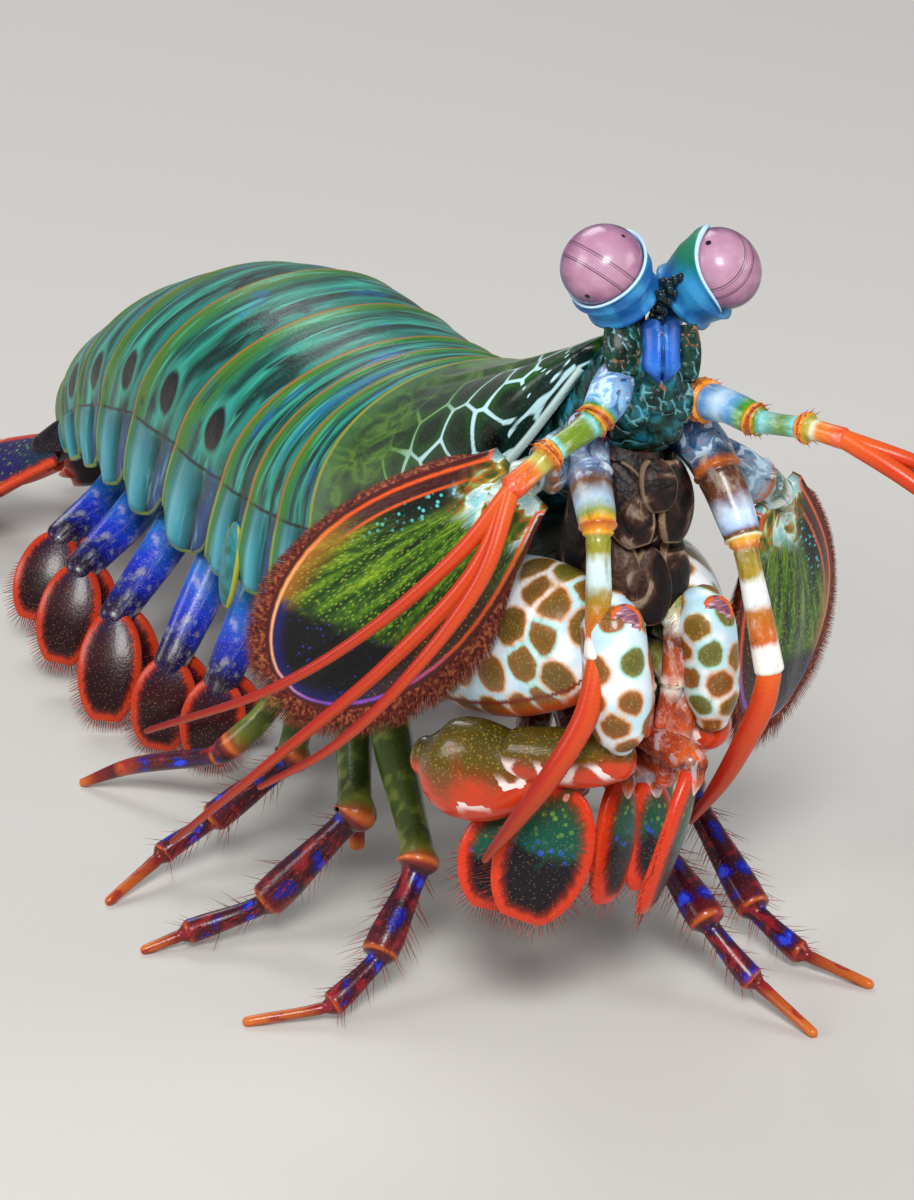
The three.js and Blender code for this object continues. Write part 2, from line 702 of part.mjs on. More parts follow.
// Small mouth limbs behind the claws: a thin arm that ends in a broad, bristly paddle.
const PADDLE_LIMBS = {
  maxilliped_3_right: {
    arm: [
      [13, 5, 32, 1.8],
      [10.6, -3, 28.4, 1.6],
      [6.9, -9, 26.8, 1.7],
    ],
    root: [6.4, -9.9, 27.2],
    tip: [1.6, -10.1, 15],
    facing: [-0.4, -0.85, 0.3],
    half: 4.4,
  },
  maxilliped_4_right: {
    arm: [
      [12.6, 8, 31, 1.8],
      [8.8, 3, 25, 1.6],
      [4.9, -1.8, 22.6, 1.5],
    ],
    root: [4.2, -2.4, 22.8],
    tip: [1.4, -4.2, 13.4],
    facing: [-0.5, -0.8, 0.3],
    half: 3.8,
  },
  maxilliped_5_right: {
    arm: [
      [14.2, 4, 31, 1.8],
      [13.8, -3, 28.4, 1.6],
      [12.9, -7.6, 26.2, 1.6],
    ],
    root: [12.7, -8.2, 26.4],
    tip: [10.4, -9.6, 14.6],
    facing: [0.45, -0.85, 0.2],
    half: 3,
  },
  maxilliped_3_left: {
    arm: [
      [15.8, 4, 31.6, 1.7],
      [15.4, -7, 30, 1.5],
      [16.6, -14, 29, 1.5],
    ],
    root: [16.6, -14.4, 29.2],
    tip: [11.4, -15.2, 16],
    facing: [0.72, -0.62, 0.3],
    half: 2.8,
  },
  maxilliped_4_left: {
    arm: [
      [17, 6, 31, 1.8],
      [17.8, -1, 26, 1.6],
      [17, -5.4, 24, 1.5],
    ],
    root: [17, -5.8, 24.2],
    tip: [15, -8.4, 14.4],
    facing: [0.3, -0.9, 0.2],
    half: 3.2,
  },
  maxilliped_5_left: {
    arm: [
      [18, 8, 31, 1.8],
      [20.4, 4, 25, 1.6],
      [21, 0.4, 22.6, 1.5],
    ],
    root: [20.9, 0, 22.8],
    tip: [19.2, -2.6, 13.2],
    facing: [0.6, -0.75, 0.2],
    half: 3.4,
  },
};
function paddleLimb({ arm, root, tip, facing, half }, grow = 0) {
  const wrist = vec(root);
  const end = wrist.clone().lerp(vec(tip), 0.22);
  const joined = limb([...arm, [...end.toArray(), 0.9]], { grow, sides: 6 });
  const paddle = plate({ root, tip, half, thick: 1.4, facing, bow: 0.5, rows: 6, widthAt: oval, grow });
  return fuse([joined, paddle]);
}

// Walking legs: the joints of the main branch, then of the thin branch that leaves it near the body.
const LEG_SETAE = 5;
const LEGS = {
  walking_leg_1_right: {
    joints: [
      [9.6, 38, 29.6, 2.4],
      [4.6, 25.6, 19.6, 2.1],
      [0.8, 10.8, 13.2, 1.6],
      [0.3, 9.5, 12.2, 1.9],
      [-0.2, 9.1, 11.4, 1.3],
      [-5, 6.3, 5.6, 1.7],
      [-5.7, 5.8, 4.9, 1.05],
      [-10.4, 5, 1.9, 1.15],
      [-11, 5, 1.6, 0.75],
      [-18.2, 7.4, 0.45, 0.5],
    ],
    branch: [[6.4, 29, 22, 1.3], [4.8, 22, 13, 1], [3.6, 18.6, 5.4, 0.8]],
  },
  walking_leg_2_right: {
    joints: [
      [9.4, 43.4, 29, 2.4],
      [4, 33, 19.6, 2.1],
      [-1.4, 20.6, 14.6, 1.7],
      [-1.9, 19.5, 13.5, 2],
      [-2.6, 19.8, 12.7, 1.4],
      [-9.8, 22.3, 4.9, 1.8],
      [-10.7, 22.6, 4.1, 1.1],
      [-17.2, 24.7, 1.7, 1.15],
      [-18, 24.9, 1.4, 0.75],
      [-21.8, 25.2, 0.45, 0.5],
    ],
    branch: [[5.4, 35.6, 22, 1.3], [3.4, 31, 12.6, 1], [2.2, 28.6, 5.4, 0.8]],
  },
  walking_leg_3_right: {
    joints: [
      [9.2, 49.6, 28.8, 2.4],
      [3.8, 43.4, 19.4, 2],
      [-1, 37, 13.6, 1.5],
      [-1.6, 36.2, 12.7, 1.8],
      [-2.4, 36.4, 12, 1.3],
      [-9, 38.5, 6.6, 1.5],
      [-9.8, 38.8, 5.9, 1],
      [-14.3, 39.5, 3.2, 1.1],
      [-15, 39.3, 2.8, 0.8],
      [-21.4, 36.6, 0.5, 0.5],
    ],
    branch: [
      [6, 46.6, 22, 1.6],
      [0.4, 48, 12.6, 1.3],
      [-3.4, 50, 8.2, 1.4],
      [-4.2, 50.8, 7.4, 1.1],
      [-10.5, 60.1, 3.4, 0.9],
      [-14.4, 64.4, 0.45, 0.5],
    ],
  },
  walking_leg_1_left: {
    joints: [
      [24, 37.4, 29.6, 2.4],
      [25.6, 22, 19.4, 2.1],
      [24, 6.8, 12.4, 1.6],
      [23.8, 5.6, 11.7, 1.9],
      [23.8, 4.6, 11.2, 1.3],
      [24.1, -4.4, 7.6, 1.7],
      [24.2, -5.2, 7, 1.05],
      [26.3, -9.3, 3.2, 1.15],
      [26.7, -9.8, 2.8, 0.8],
      [28.8, -16.8, 0.45, 0.5],
    ],
    branch: [[25.6, 25, 21, 1.3], [27.2, 17, 12, 1], [27.8, 13.4, 5, 0.8]],
  },
  walking_leg_2_left: {
    joints: [
      [24.6, 43, 29, 2.4],
      [29, 31, 19.6, 2.1],
      [31.6, 15, 12.6, 1.6],
      [31.7, 13.6, 11.9, 1.9],
      [31.8, 12.4, 11.2, 1.3],
      [32.5, 1.4, 4.6, 1.6],
      [32.6, 0.5, 4.1, 1.05],
      [34.4, -4.4, 1.9, 1.1],
      [34.8, -5, 1.7, 0.75],
      [38.5, -10.8, 0.45, 0.5],
    ],
    branch: [[28.8, 34, 21, 1.3], [33.6, 27.6, 12, 1], [35, 24.6, 5, 0.8]],
  },
  walking_leg_3_left: {
    joints: [
      [24.8, 49.6, 28.6, 2.4],
      [29, 52, 19.6, 2],
      [31.4, 56.4, 12.6, 1.5],
      [31.8, 57.2, 11.8, 1.8],
      [32.1, 58, 11, 1.3],
      [34, 63.4, 5.4, 1.5],
      [34.2, 64.2, 4.9, 1.05],
      [35.4, 68, 2.2, 1.1],
      [35.5, 68.6, 2, 0.8],
      [36.6, 74.4, 0.45, 0.5],
    ],
    branch: [
      [27, 49.4, 22.4, 1.6],
      [31, 44, 13, 1.2],
      [32.4, 41.6, 8.4, 1.2],
      [34.6, 36.6, 3.2, 0.9],
      [35.4, 33.2, 0.45, 0.5],
    ],
  },
};
function walkingLeg({ joints, branch }, grow = 0) {
  const pieces = [limb(joints, { grow, sides: 6 }), limb(branch, { grow, sides: 5 })];
  // Bristles stand by turns on both sides of the two outer lengths of the leg.
  const hair = { facing: UP.toArray(), width: 0.9, thick: 0.7, sink: 0.8, grow };
  for (const [first, last, share] of [[4, 5, 1], [6, 7, 0.8]]) {
    const from = vec(joints[first]);
    const to = vec(joints[last]);
    const along = to.clone().sub(from).normalize();
    const outward = new THREE.Vector3().crossVectors(along, UP).normalize();
    for (let i = 0; i < LEG_SETAE; i++) {
      const p = from.clone().lerp(to, 0.24 + (0.66 * i) / (LEG_SETAE - 1));
      const sign = i % 2 ? 1 : -1;
      const lean = outward.clone().multiplyScalar(sign * 0.75).addScaledVector(along, 0.6);
      lean.z -= 0.25;
      const length = Math.min(3.4 * share, p.z * 1.5);
      p.addScaledVector(outward, sign * joints[last][3] * 0.7);
      pieces.push(seta({ ...hair, root: p.toArray(), along: lean.toArray(), length }));
    }
  }
  return fuse(pieces);
}

// Swimmerets: a flattened stem from the belly, passing under the side plate, and two red paddles.
const SWIMMERETS = [
  { y: 61, knee: [0.2, 60.6, 11], tip: [-1.6, 60.4, 1.8] },
  { y: 73, knee: [-2.4, 68.6, 10.8], tip: [-4.6, 67.6, 1.2] },
  { y: 87, knee: [-4.2, 81, 12], tip: [-7.4, 76.8, 1.4] },
  { y: 100.5, knee: [-3.8, 93.6, 13], tip: [-8, 90.6, 3.2] },
  { y: 113, knee: [-2, 105.4, 12.6], tip: [-7.2, 102.4, 4] },
];
// The trunk's own sizes at a place between two of its planes.
function trunkAt(y) {
  const i = Math.max(1, TRUNK.findIndex((row) => row.y >= y));
  const t = (y - TRUNK[i - 1].y) / (TRUNK[i].y - TRUNK[i - 1].y);
  const mix = (key) => TRUNK[i - 1][key] + (TRUNK[i][key] - TRUNK[i - 1][key]) * t;
  return { x: mix("x"), half: mix("half"), under: mix("top") - mix("dome") - mix("belly") };
}
function swimmeret({ y, knee, tip }, side, grow = 0) {
  const { x, half, under } = trunkAt(y);
  const out = side === "right" ? -1 : 1;
  const turn = ([a, b, c]) => (side === "right" ? [a, b, c] : [2 * x - a, b + 1.5, c]);
  const kneeAt = turn(knee);
  const tipAt = turn(tip);
  const stem = limb(
    [
      [x + out * half * 0.5, y, under + 1.6, 2.4, 0.7],
      [x + out * half * 0.78, y - 1.4, under - 4.4, 2.5, 0.62],
      [...kneeAt, 1.9, 0.6],
    ],
    { grow, sides: 5, side: [0.5 * out, -0.8, 0] },
  );
  const shared = { thick: 1.2, facing: [out * 0.5, -0.85, 0.2], rows: 4, widthAt: oval, fine: false, grow };
  const outer = plate({
    ...shared,
    root: [kneeAt[0], kneeAt[1], kneeAt[2] + 0.6],
    tip: tipAt,
    half: 3.6,
    bow: 0.8,
  });
  const inner = plate({
    ...shared,
    root: [kneeAt[0] - out * 1.2, kneeAt[1] + 0.8, kneeAt[2] + 0.4],
    tip: [tipAt[0] - out * 5.6, tipAt[1] + 3.4, tipAt[2] + 0.8],
    half: 3.2,
    bow: 0.6,
  });
  return fuse([stem, outer, inner]);
}

// Tail: a ridged, toothed end plate, and on each side a spined stalk with an outer and an inner blade.
const TAIL_ROOT = { x: 19.8, y: 130, z: 18.4 };
const TAIL_TIP = { x: 19.8, y: 149.5, z: 2.4 };
function telson(grow = 0) {
  const facing = [0, 0.62, 0.78];
  const outline = (u) => 0.86 + 0.14 * Math.sin(Math.PI * Math.min(1, u * 1.3)) - Math.max(0, u - 0.7);
  const root = vec(Object.values(TAIL_ROOT));
  const back = vec(Object.values(TAIL_TIP)).sub(root);
  const way = back.clone().normalize();
  const rise = unit(facing);
  rise.addScaledVector(way, -rise.dot(way)).normalize();
  const pieces = [
    plate({
      root: root.toArray(),
      tip: Object.values(TAIL_TIP),
      half: 9.8,
      thick: 5,
      facing,
      bow: 1.6,
      rows: 6,
      widthAt: outline,
      grow,
    }),
  ];
  if (grow) return pieces[0];
  for (const offset of [-6.6, -3.5, 0, 3.5, 6.6]) {
    const start = root.clone().addScaledVector(way, 3).addScaledVector(rise, 2.2);
    start.x += offset;
    const bulge = start.clone().addScaledVector(way, 9).addScaledVector(rise, 2 - Math.abs(offset) * 0.1);
    const end = start.clone().addScaledVector(way, 17 - Math.abs(offset) * 0.5).addScaledVector(rise, -0.2);
    const keel = [
      [...start.toArray(), 0.7],
      [...bulge.toArray(), 1.2],
      [...end.toArray(), 0.5],
    ];
    pieces.push(limb(keel, { sides: 5 }));
  }
  for (const offset of [-6.6, -4, -1.5, 1.5, 4, 6.6]) {
    const foot = root.clone().addScaledVector(back, 0.94 - Math.abs(offset) * 0.01);
    foot.x += offset;
    const tooth = { length: 3.6 - Math.abs(offset) * 0.12, facing, width: 2.2, thick: 1.6, sink: 1.6 };
    pieces.push(seta({ ...tooth, root: foot.toArray(), along: [offset * 0.03, 1, -0.5] }));
  }
  return fuse(pieces);
}
const UROPOD_RAYS = 5;
function uropod(side, grow = 0) {
  const out = side === "right" ? -1 : 1;
  const at = (dx, y, z) => [TAIL_ROOT.x + out * dx, y, z];
  const facing = [out * 0.5, -0.1, 0.85];
  const outer = { root: at(13.4, 130.4, 14.4), tip: at(28, 144.6, 4.6), half: 5.4, first: 0.3 };
  const inner = { root: at(13.6, 132, 12.6), tip: at(20, 150, 2), half: 4, first: 0.4 };
  const prong = { facing, thick: 1.6, sink: 1, grow };
  const pieces = [
    limb(
      [
        [...at(8, 126, 18), 2.2, 0.8],
        [...at(12, 129.2, 16.2), 2.5, 0.8],
        [...at(14.6, 132.6, 13.4), 2.2, 0.8],
      ],
      { grow, sides: 7 },
    ),
    plate({ ...outer, thick: 1.4, facing, bow: 0.6, rows: 5, widthAt: tongue, fine: false, grow }),
    plate({ ...inner, thick: 1.3, facing, bow: 0.5, rows: 5, widthAt: tongue, fine: false, grow }),
    seta({ ...prong, root: at(13.2, 132.2, 11.6), along: [out * 0.16, 0.86, -0.5], length: 13, width: 2 }),
    seta({ ...prong, root: at(15.6, 132.4, 12), along: [out * 0.5, 0.76, -0.42], length: 10, width: 1.8 }),
  ];
  for (const blade of [outer, inner]) {
    const from = vec(blade.root);
    const along = vec(blade.tip).sub(from);
    const way = along.clone().normalize();
    const normal = unit(facing);
    normal.addScaledVector(way, -normal.dot(way)).normalize();
    const across = new THREE.Vector3().crossVectors(normal, way);
    for (let i = 0; i < UROPOD_RAYS; i++) {
      const turn = Math.PI * (i / (UROPOD_RAYS - 1));
      const u = blade.first + (1 - blade.first) * Math.sin(turn);
      const aside = Math.cos(turn) * blade.half * 0.86;
      const root = from.clone().addScaledVector(along, u * 0.97).addScaledVector(across, aside).toArray();
      const lean = way.clone().multiplyScalar(0.4 + Math.sin(turn)).addScaledVector(across, Math.cos(turn));
      lean.z = Math.max(lean.z, -0.12);
      const ray = { length: 3, facing, width: 2.2, thick: 0.8, sink: 1.5, grow };
      pieces.push(seta({ ...ray, root, along: lean.toArray() }));
    }
  }
  return fuse(pieces);
}

const antennule = ({ stem }, grow = 0) => limb(stem, { grow, sides: 8 });
function whips({ whips: paths }, grow = 0) {
  return fuse(paths.map((path) => limb(smooth(path, 9), { grow, sides: 5 })));
}
const mouth = (grow = 0) =>
  limb(
    [
      [15.2, -2.4, 56, 4.4, 1],
      [15, -3.4, 52, 5, 1],
      [14.8, -2.6, 47, 5.4, 0.95],
      [15, 0, 41, 5.4, 0.95],
      [15.2, 3.4, 35, 5.2, 0.95],
      [15.3, 5.6, 30.4, 4, 0.95],
      [15.3, 6, 27.8, 2, 0.95],
    ],
    { grow, sides: 9 },
  );

// Every node, in the order in which it keeps its shape: a later one is cut clear of an earlier one.
const nodes = [];
const add = (name, colour, make, makeCutter = make) =>
  nodes.push({ name, colour, solid: make(0), cutter: makeCutter(GAP) });
const both = ["right", "left"];
SOMITES.forEach((spec, i) => add(spec.name, COLOURS.shell, (g) => somite(i, g)));
add("carapace", COLOURS.carapace, (g) => shield(g));
add("head", COLOURS.head, (g) => head(g));
for (const side of both) add(`eye_${side}`, COLOURS.cornea, (g) => cornea(EYES[side], g));
for (const side of both) add(`eye_stalk_${side}`, COLOURS.cup, (g) => eyeCup(EYES[side], g));
add("mouthparts", COLOURS.mouth, (g) => mouth(g));
for (const side of both) {
  add(`antenna_${side}`, COLOURS.banded, (g) => limb(ANTENNAE[side].stem, { grow: g, sides: 8 }));
}
for (const side of both) add(`antennule_${side}`, COLOURS.banded, (g) => antennule(ANTENNULES[side], g));
for (const side of both) add(`antennule_whips_${side}`, COLOURS.feeler, (g) => whips(ANTENNULES[side], g));
for (const side of both) {
  const whip = smooth(ANTENNAE[side].whip, 8);
  add(`antenna_whip_${side}`, COLOURS.feeler, (g) => limb(whip, { grow: g, sides: 6 }));
}
for (const side of both) {
  add(`antennal_scale_${side}`, COLOURS.scale, (g) => antennalScale(SCALES[side], g));
}
for (const side of both) {
  const claw = CLAWS[side];
  add(`claw_knuckle_${side}`, COLOURS.spotted, (g) => limb(claw.knuckle, { grow: g, sides: 10 }));
  add(`claw_club_${side}`, COLOURS.club, (g) => limb(claw.club, { grow: g, sides: 10 }));
  add(`claw_forearm_${side}`, COLOURS.club, (g) => limb(claw.forearm, { grow: g, sides: 8 }));
  add(`claw_arm_${side}`, COLOURS.spotted, (g) => limb(claw.arm, { grow: g, sides: 12 }));
}
for (const [name, spec] of Object.entries(PADDLE_LIMBS)) {
  add(name, COLOURS.paddle, (g) => paddleLimb(spec, g));
}
for (const [name, spec] of Object.entries(LEGS)) add(name, COLOURS.leg, (g) => walkingLeg(spec, g));
SWIMMERETS.forEach((spec, i) => {
  for (const side of both) {
    add(`swimmeret_${i + 1}_${side}`, COLOURS.swimmeret, (g) => swimmeret(spec, side, g));
  }
});
add("telson", COLOURS.fan, (g) => telson(g));
for (const side of both) add(`uropod_${side}`, COLOURS.fan, (g) => uropod(side, g));

for (let j = 1; j < nodes.length; j++) {
  for (let i = 0; i < j; i++) {
    if (j < SOMITES.length) continue;
    const box = nodes[i].cutter.boundingBox();
    const other = nodes[j].solid.boundingBox();
    if ([0, 1, 2].some((k) => box.min[k] > other.max[k] || other.min[k] > box.max[k])) continue;
    if (nodes[j].solid.intersect(nodes[i].cutter).volume() < 1e-4) continue;
    nodes[j].solid = nodes[j].solid.subtract(nodes[i].cutter);
  }
  nodes[j].solid = largest(nodes[j].solid.simplify(MERGE));
}

// Nothing reaches below the floor, and what would is cut flat there. The origin is under the middle.
const shrimp = new THREE.Group();
for (const { name, colour, solid } of nodes) {
  const trimmed = largest(solid.trimByPlane([0, 0, 1], 0));
  const { vertProperties, triVerts } = trimmed.getMesh();
  const geometry = new THREE.BufferGeometry();
  geometry.setAttribute("position", new THREE.BufferAttribute(vertProperties, 3));
  geometry.setIndex(new THREE.BufferAttribute(triVerts, 1));
  const material = new THREE.MeshStandardMaterial({ color: colour, roughness: 0.35, metalness: 0.05 });
  const mesh = new THREE.Mesh(geometry, material);
  mesh.name = name;
  shrimp.add(mesh);
}
const extent = new THREE.Box3().setFromObject(shrimp);
const middle = extent.getCenter(new THREE.Vector3());
shrimp.position.set(-middle.x, -middle.y, -extent.min.z);

export default shrimp;
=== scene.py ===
"""Looks of a live peacock mantis shrimp, life size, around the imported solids.

Sizes below are millimetres in the drawing's own axes: +Z up, the head faces -Y, +X is the animal's left.
"""
import math
import bmesh
import bpy
import numpy as np
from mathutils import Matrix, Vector


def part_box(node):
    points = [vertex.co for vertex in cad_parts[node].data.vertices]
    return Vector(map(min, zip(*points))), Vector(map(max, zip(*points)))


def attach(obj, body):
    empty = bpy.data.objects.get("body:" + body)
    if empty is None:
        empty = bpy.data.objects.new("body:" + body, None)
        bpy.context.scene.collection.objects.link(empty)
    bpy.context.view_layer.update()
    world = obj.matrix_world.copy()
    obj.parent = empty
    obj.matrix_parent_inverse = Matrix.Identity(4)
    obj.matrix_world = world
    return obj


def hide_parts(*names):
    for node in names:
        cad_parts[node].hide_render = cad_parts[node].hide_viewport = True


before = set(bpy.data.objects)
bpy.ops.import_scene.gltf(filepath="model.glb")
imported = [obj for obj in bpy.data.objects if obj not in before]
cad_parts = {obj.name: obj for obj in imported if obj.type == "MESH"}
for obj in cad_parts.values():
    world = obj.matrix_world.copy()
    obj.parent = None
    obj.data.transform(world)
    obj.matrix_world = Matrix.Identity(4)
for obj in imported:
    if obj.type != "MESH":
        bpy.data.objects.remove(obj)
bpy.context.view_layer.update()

MM = 0.001
FAR = 9.0
SPECULAR = 0.25
EYE_RADIUS = 3.75
EYE_SQUASH = 0.88
EYES = {
    "right": {"centre": (11.4, -5.3, 74.1), "axis": (-0.578, -0.21, 0.79), "foot": (14.2, -5.2, 67.0)},
    "left": {"centre": (22.6, -6.5, 72.7), "axis": (0.554, -0.514, 0.654), "foot": (17.0, -5.2, 66.8)},
}
low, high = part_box("eye_right")
SHIFT = np.array([(low[k] + high[k]) / 2 / MM - EYES["right"]["centre"][k] for k in range(3)])
SIDES = ("right", "left")


# Numbers

def vec(p):
    return np.array(p, dtype=float)


def unit(p):
    p = vec(p)
    return p / max(1e-9, float(np.linalg.norm(p)))


def across_of(way, facing):
    """The sideways direction of a plate that runs along way and faces facing, and its own normal."""
    normal = vec(facing) - way * float(np.dot(facing, way))
    normal = unit(normal)
    return np.cross(normal, way), normal


def ease(x, low_end, high_end):
    t = np.clip((np.asarray(x, float) - low_end) / (high_end - low_end), 0, 1)
    return t * t * (3 - 2 * t)


def hermite(knots, rows, at):
    """Rows of numbers carried smoothly from knot to knot."""
    knots = vec(knots)
    rows = vec(rows)
    step = np.diff(knots)
    slope = np.diff(rows, axis=0) / step[:, None]
    tangent = np.empty_like(rows)
    tangent[0] = slope[0]
    tangent[-1] = slope[-1]
    for i in range(1, len(knots) - 1):
        tangent[i] = (slope[i - 1] * step[i] + slope[i] * step[i - 1]) / (step[i - 1] + step[i])
    i = np.clip(np.searchsorted(knots, at, side="right") - 1, 0, len(knots) - 2)
    t = ((at - knots[i]) / step[i])[:, None]
    h = step[i][:, None]
    return ((2 * t**3 - 3 * t**2 + 1) * rows[i] + (t**3 - 2 * t**2 + t) * h * tangent[i]
            + (3 * t**2 - 2 * t**3) * rows[i + 1] + (t**3 - t**2) * h * tangent[i + 1])


def run_along(points):
    """How far along a line of points each of them lies."""
    return np.concatenate([[0], np.cumsum(np.linalg.norm(np.diff(points, axis=0), axis=1))])


def resampled(wanted, knots, rows):
    """Rows of numbers read off at the wanted places."""
    return np.stack([np.interp(wanted, knots, rows[:, k]) for k in range(rows.shape[1])], axis=1)


def curve(rows, count):
    """count rows on one smooth line through the given rows [x, y, z, ...], evenly spaced along it."""
    rows = vec(rows)
    knots = np.concatenate([[0], np.cumsum(np.sqrt(np.linalg.norm(np.diff(rows[:, :3], axis=0), axis=1)))])
    fine = hermite(knots, rows, np.linspace(0, knots[-1], 40 * len(rows)))
    length = run_along(fine[:, :3])
    return resampled(np.linspace(0, length[-1], count), length, fine), length[-1]


def frames(points, side):
    """Heading, sideways and over directions along a line, carried along without twist."""
    heading = np.gradient(points, axis=0)
    heading /= np.linalg.norm(heading, axis=1)[:, None]
    across = np.empty_like(points)
    last = vec(side)
    for i, way in enumerate(heading):
        last = unit(last - way * np.dot(last, way))
        across[i] = last
    return heading, across, np.cross(heading, across)


def patches(points, pitch, seed, size=None, stretch=(1, 1, 1)):
    """Even cells over a surface: distance to the cell's middle, distance to its border, and a number of its own."""
    draw = np.random.default_rng(seed)
    points = vec(points).reshape(-1, 3) * vec(stretch)
    size = np.ones(len(points)) if size is None else np.ravel(size)
    chosen = [int(draw.integers(len(points)))]
    near = np.linalg.norm(points - points[chosen[0]], axis=1) / size
    while near.max() > pitch:
        chosen.append(int(near.argmax()))
        near = np.minimum(near, np.linalg.norm(points - points[chosen[-1]], axis=1) / size)
    middles = points[chosen] + draw.normal(0, pitch * 0.1, (len(chosen), 3))
    apart = np.sqrt(((points[:, None, :] - middles[None, :, :]) ** 2).sum(-1))
    first, second = np.partition(apart, 1, axis=1)[:, :2].T
    return {"middle": first, "border": (second - first) / 2, "kind": draw.random(len(chosen))[apart.argmin(1)]}


# View

VIEW_TURN = math.radians(-25)
VIEW_FALL = math.radians(22)
CAMERA_BACK = 300.0
CAMERA_HIGH = 164.0
LENS = 108.0
FRAME_HIGH = 36.0
TO_RIGHT = vec([math.cos(VIEW_TURN), math.sin(VIEW_TURN), 0])
TO_TOP = vec([-math.sin(VIEW_TURN) * math.sin(VIEW_FALL), math.cos(VIEW_TURN) * math.sin(VIEW_FALL),
              math.cos(VIEW_FALL)])
TO_VIEWER = np.cross(TO_RIGHT, TO_TOP)


# Meshes

# How wide each ring of a limb's rounded end is, as a share of the limb.
END_SHARES = (0.98, 0.9, 0.72, 0.42)


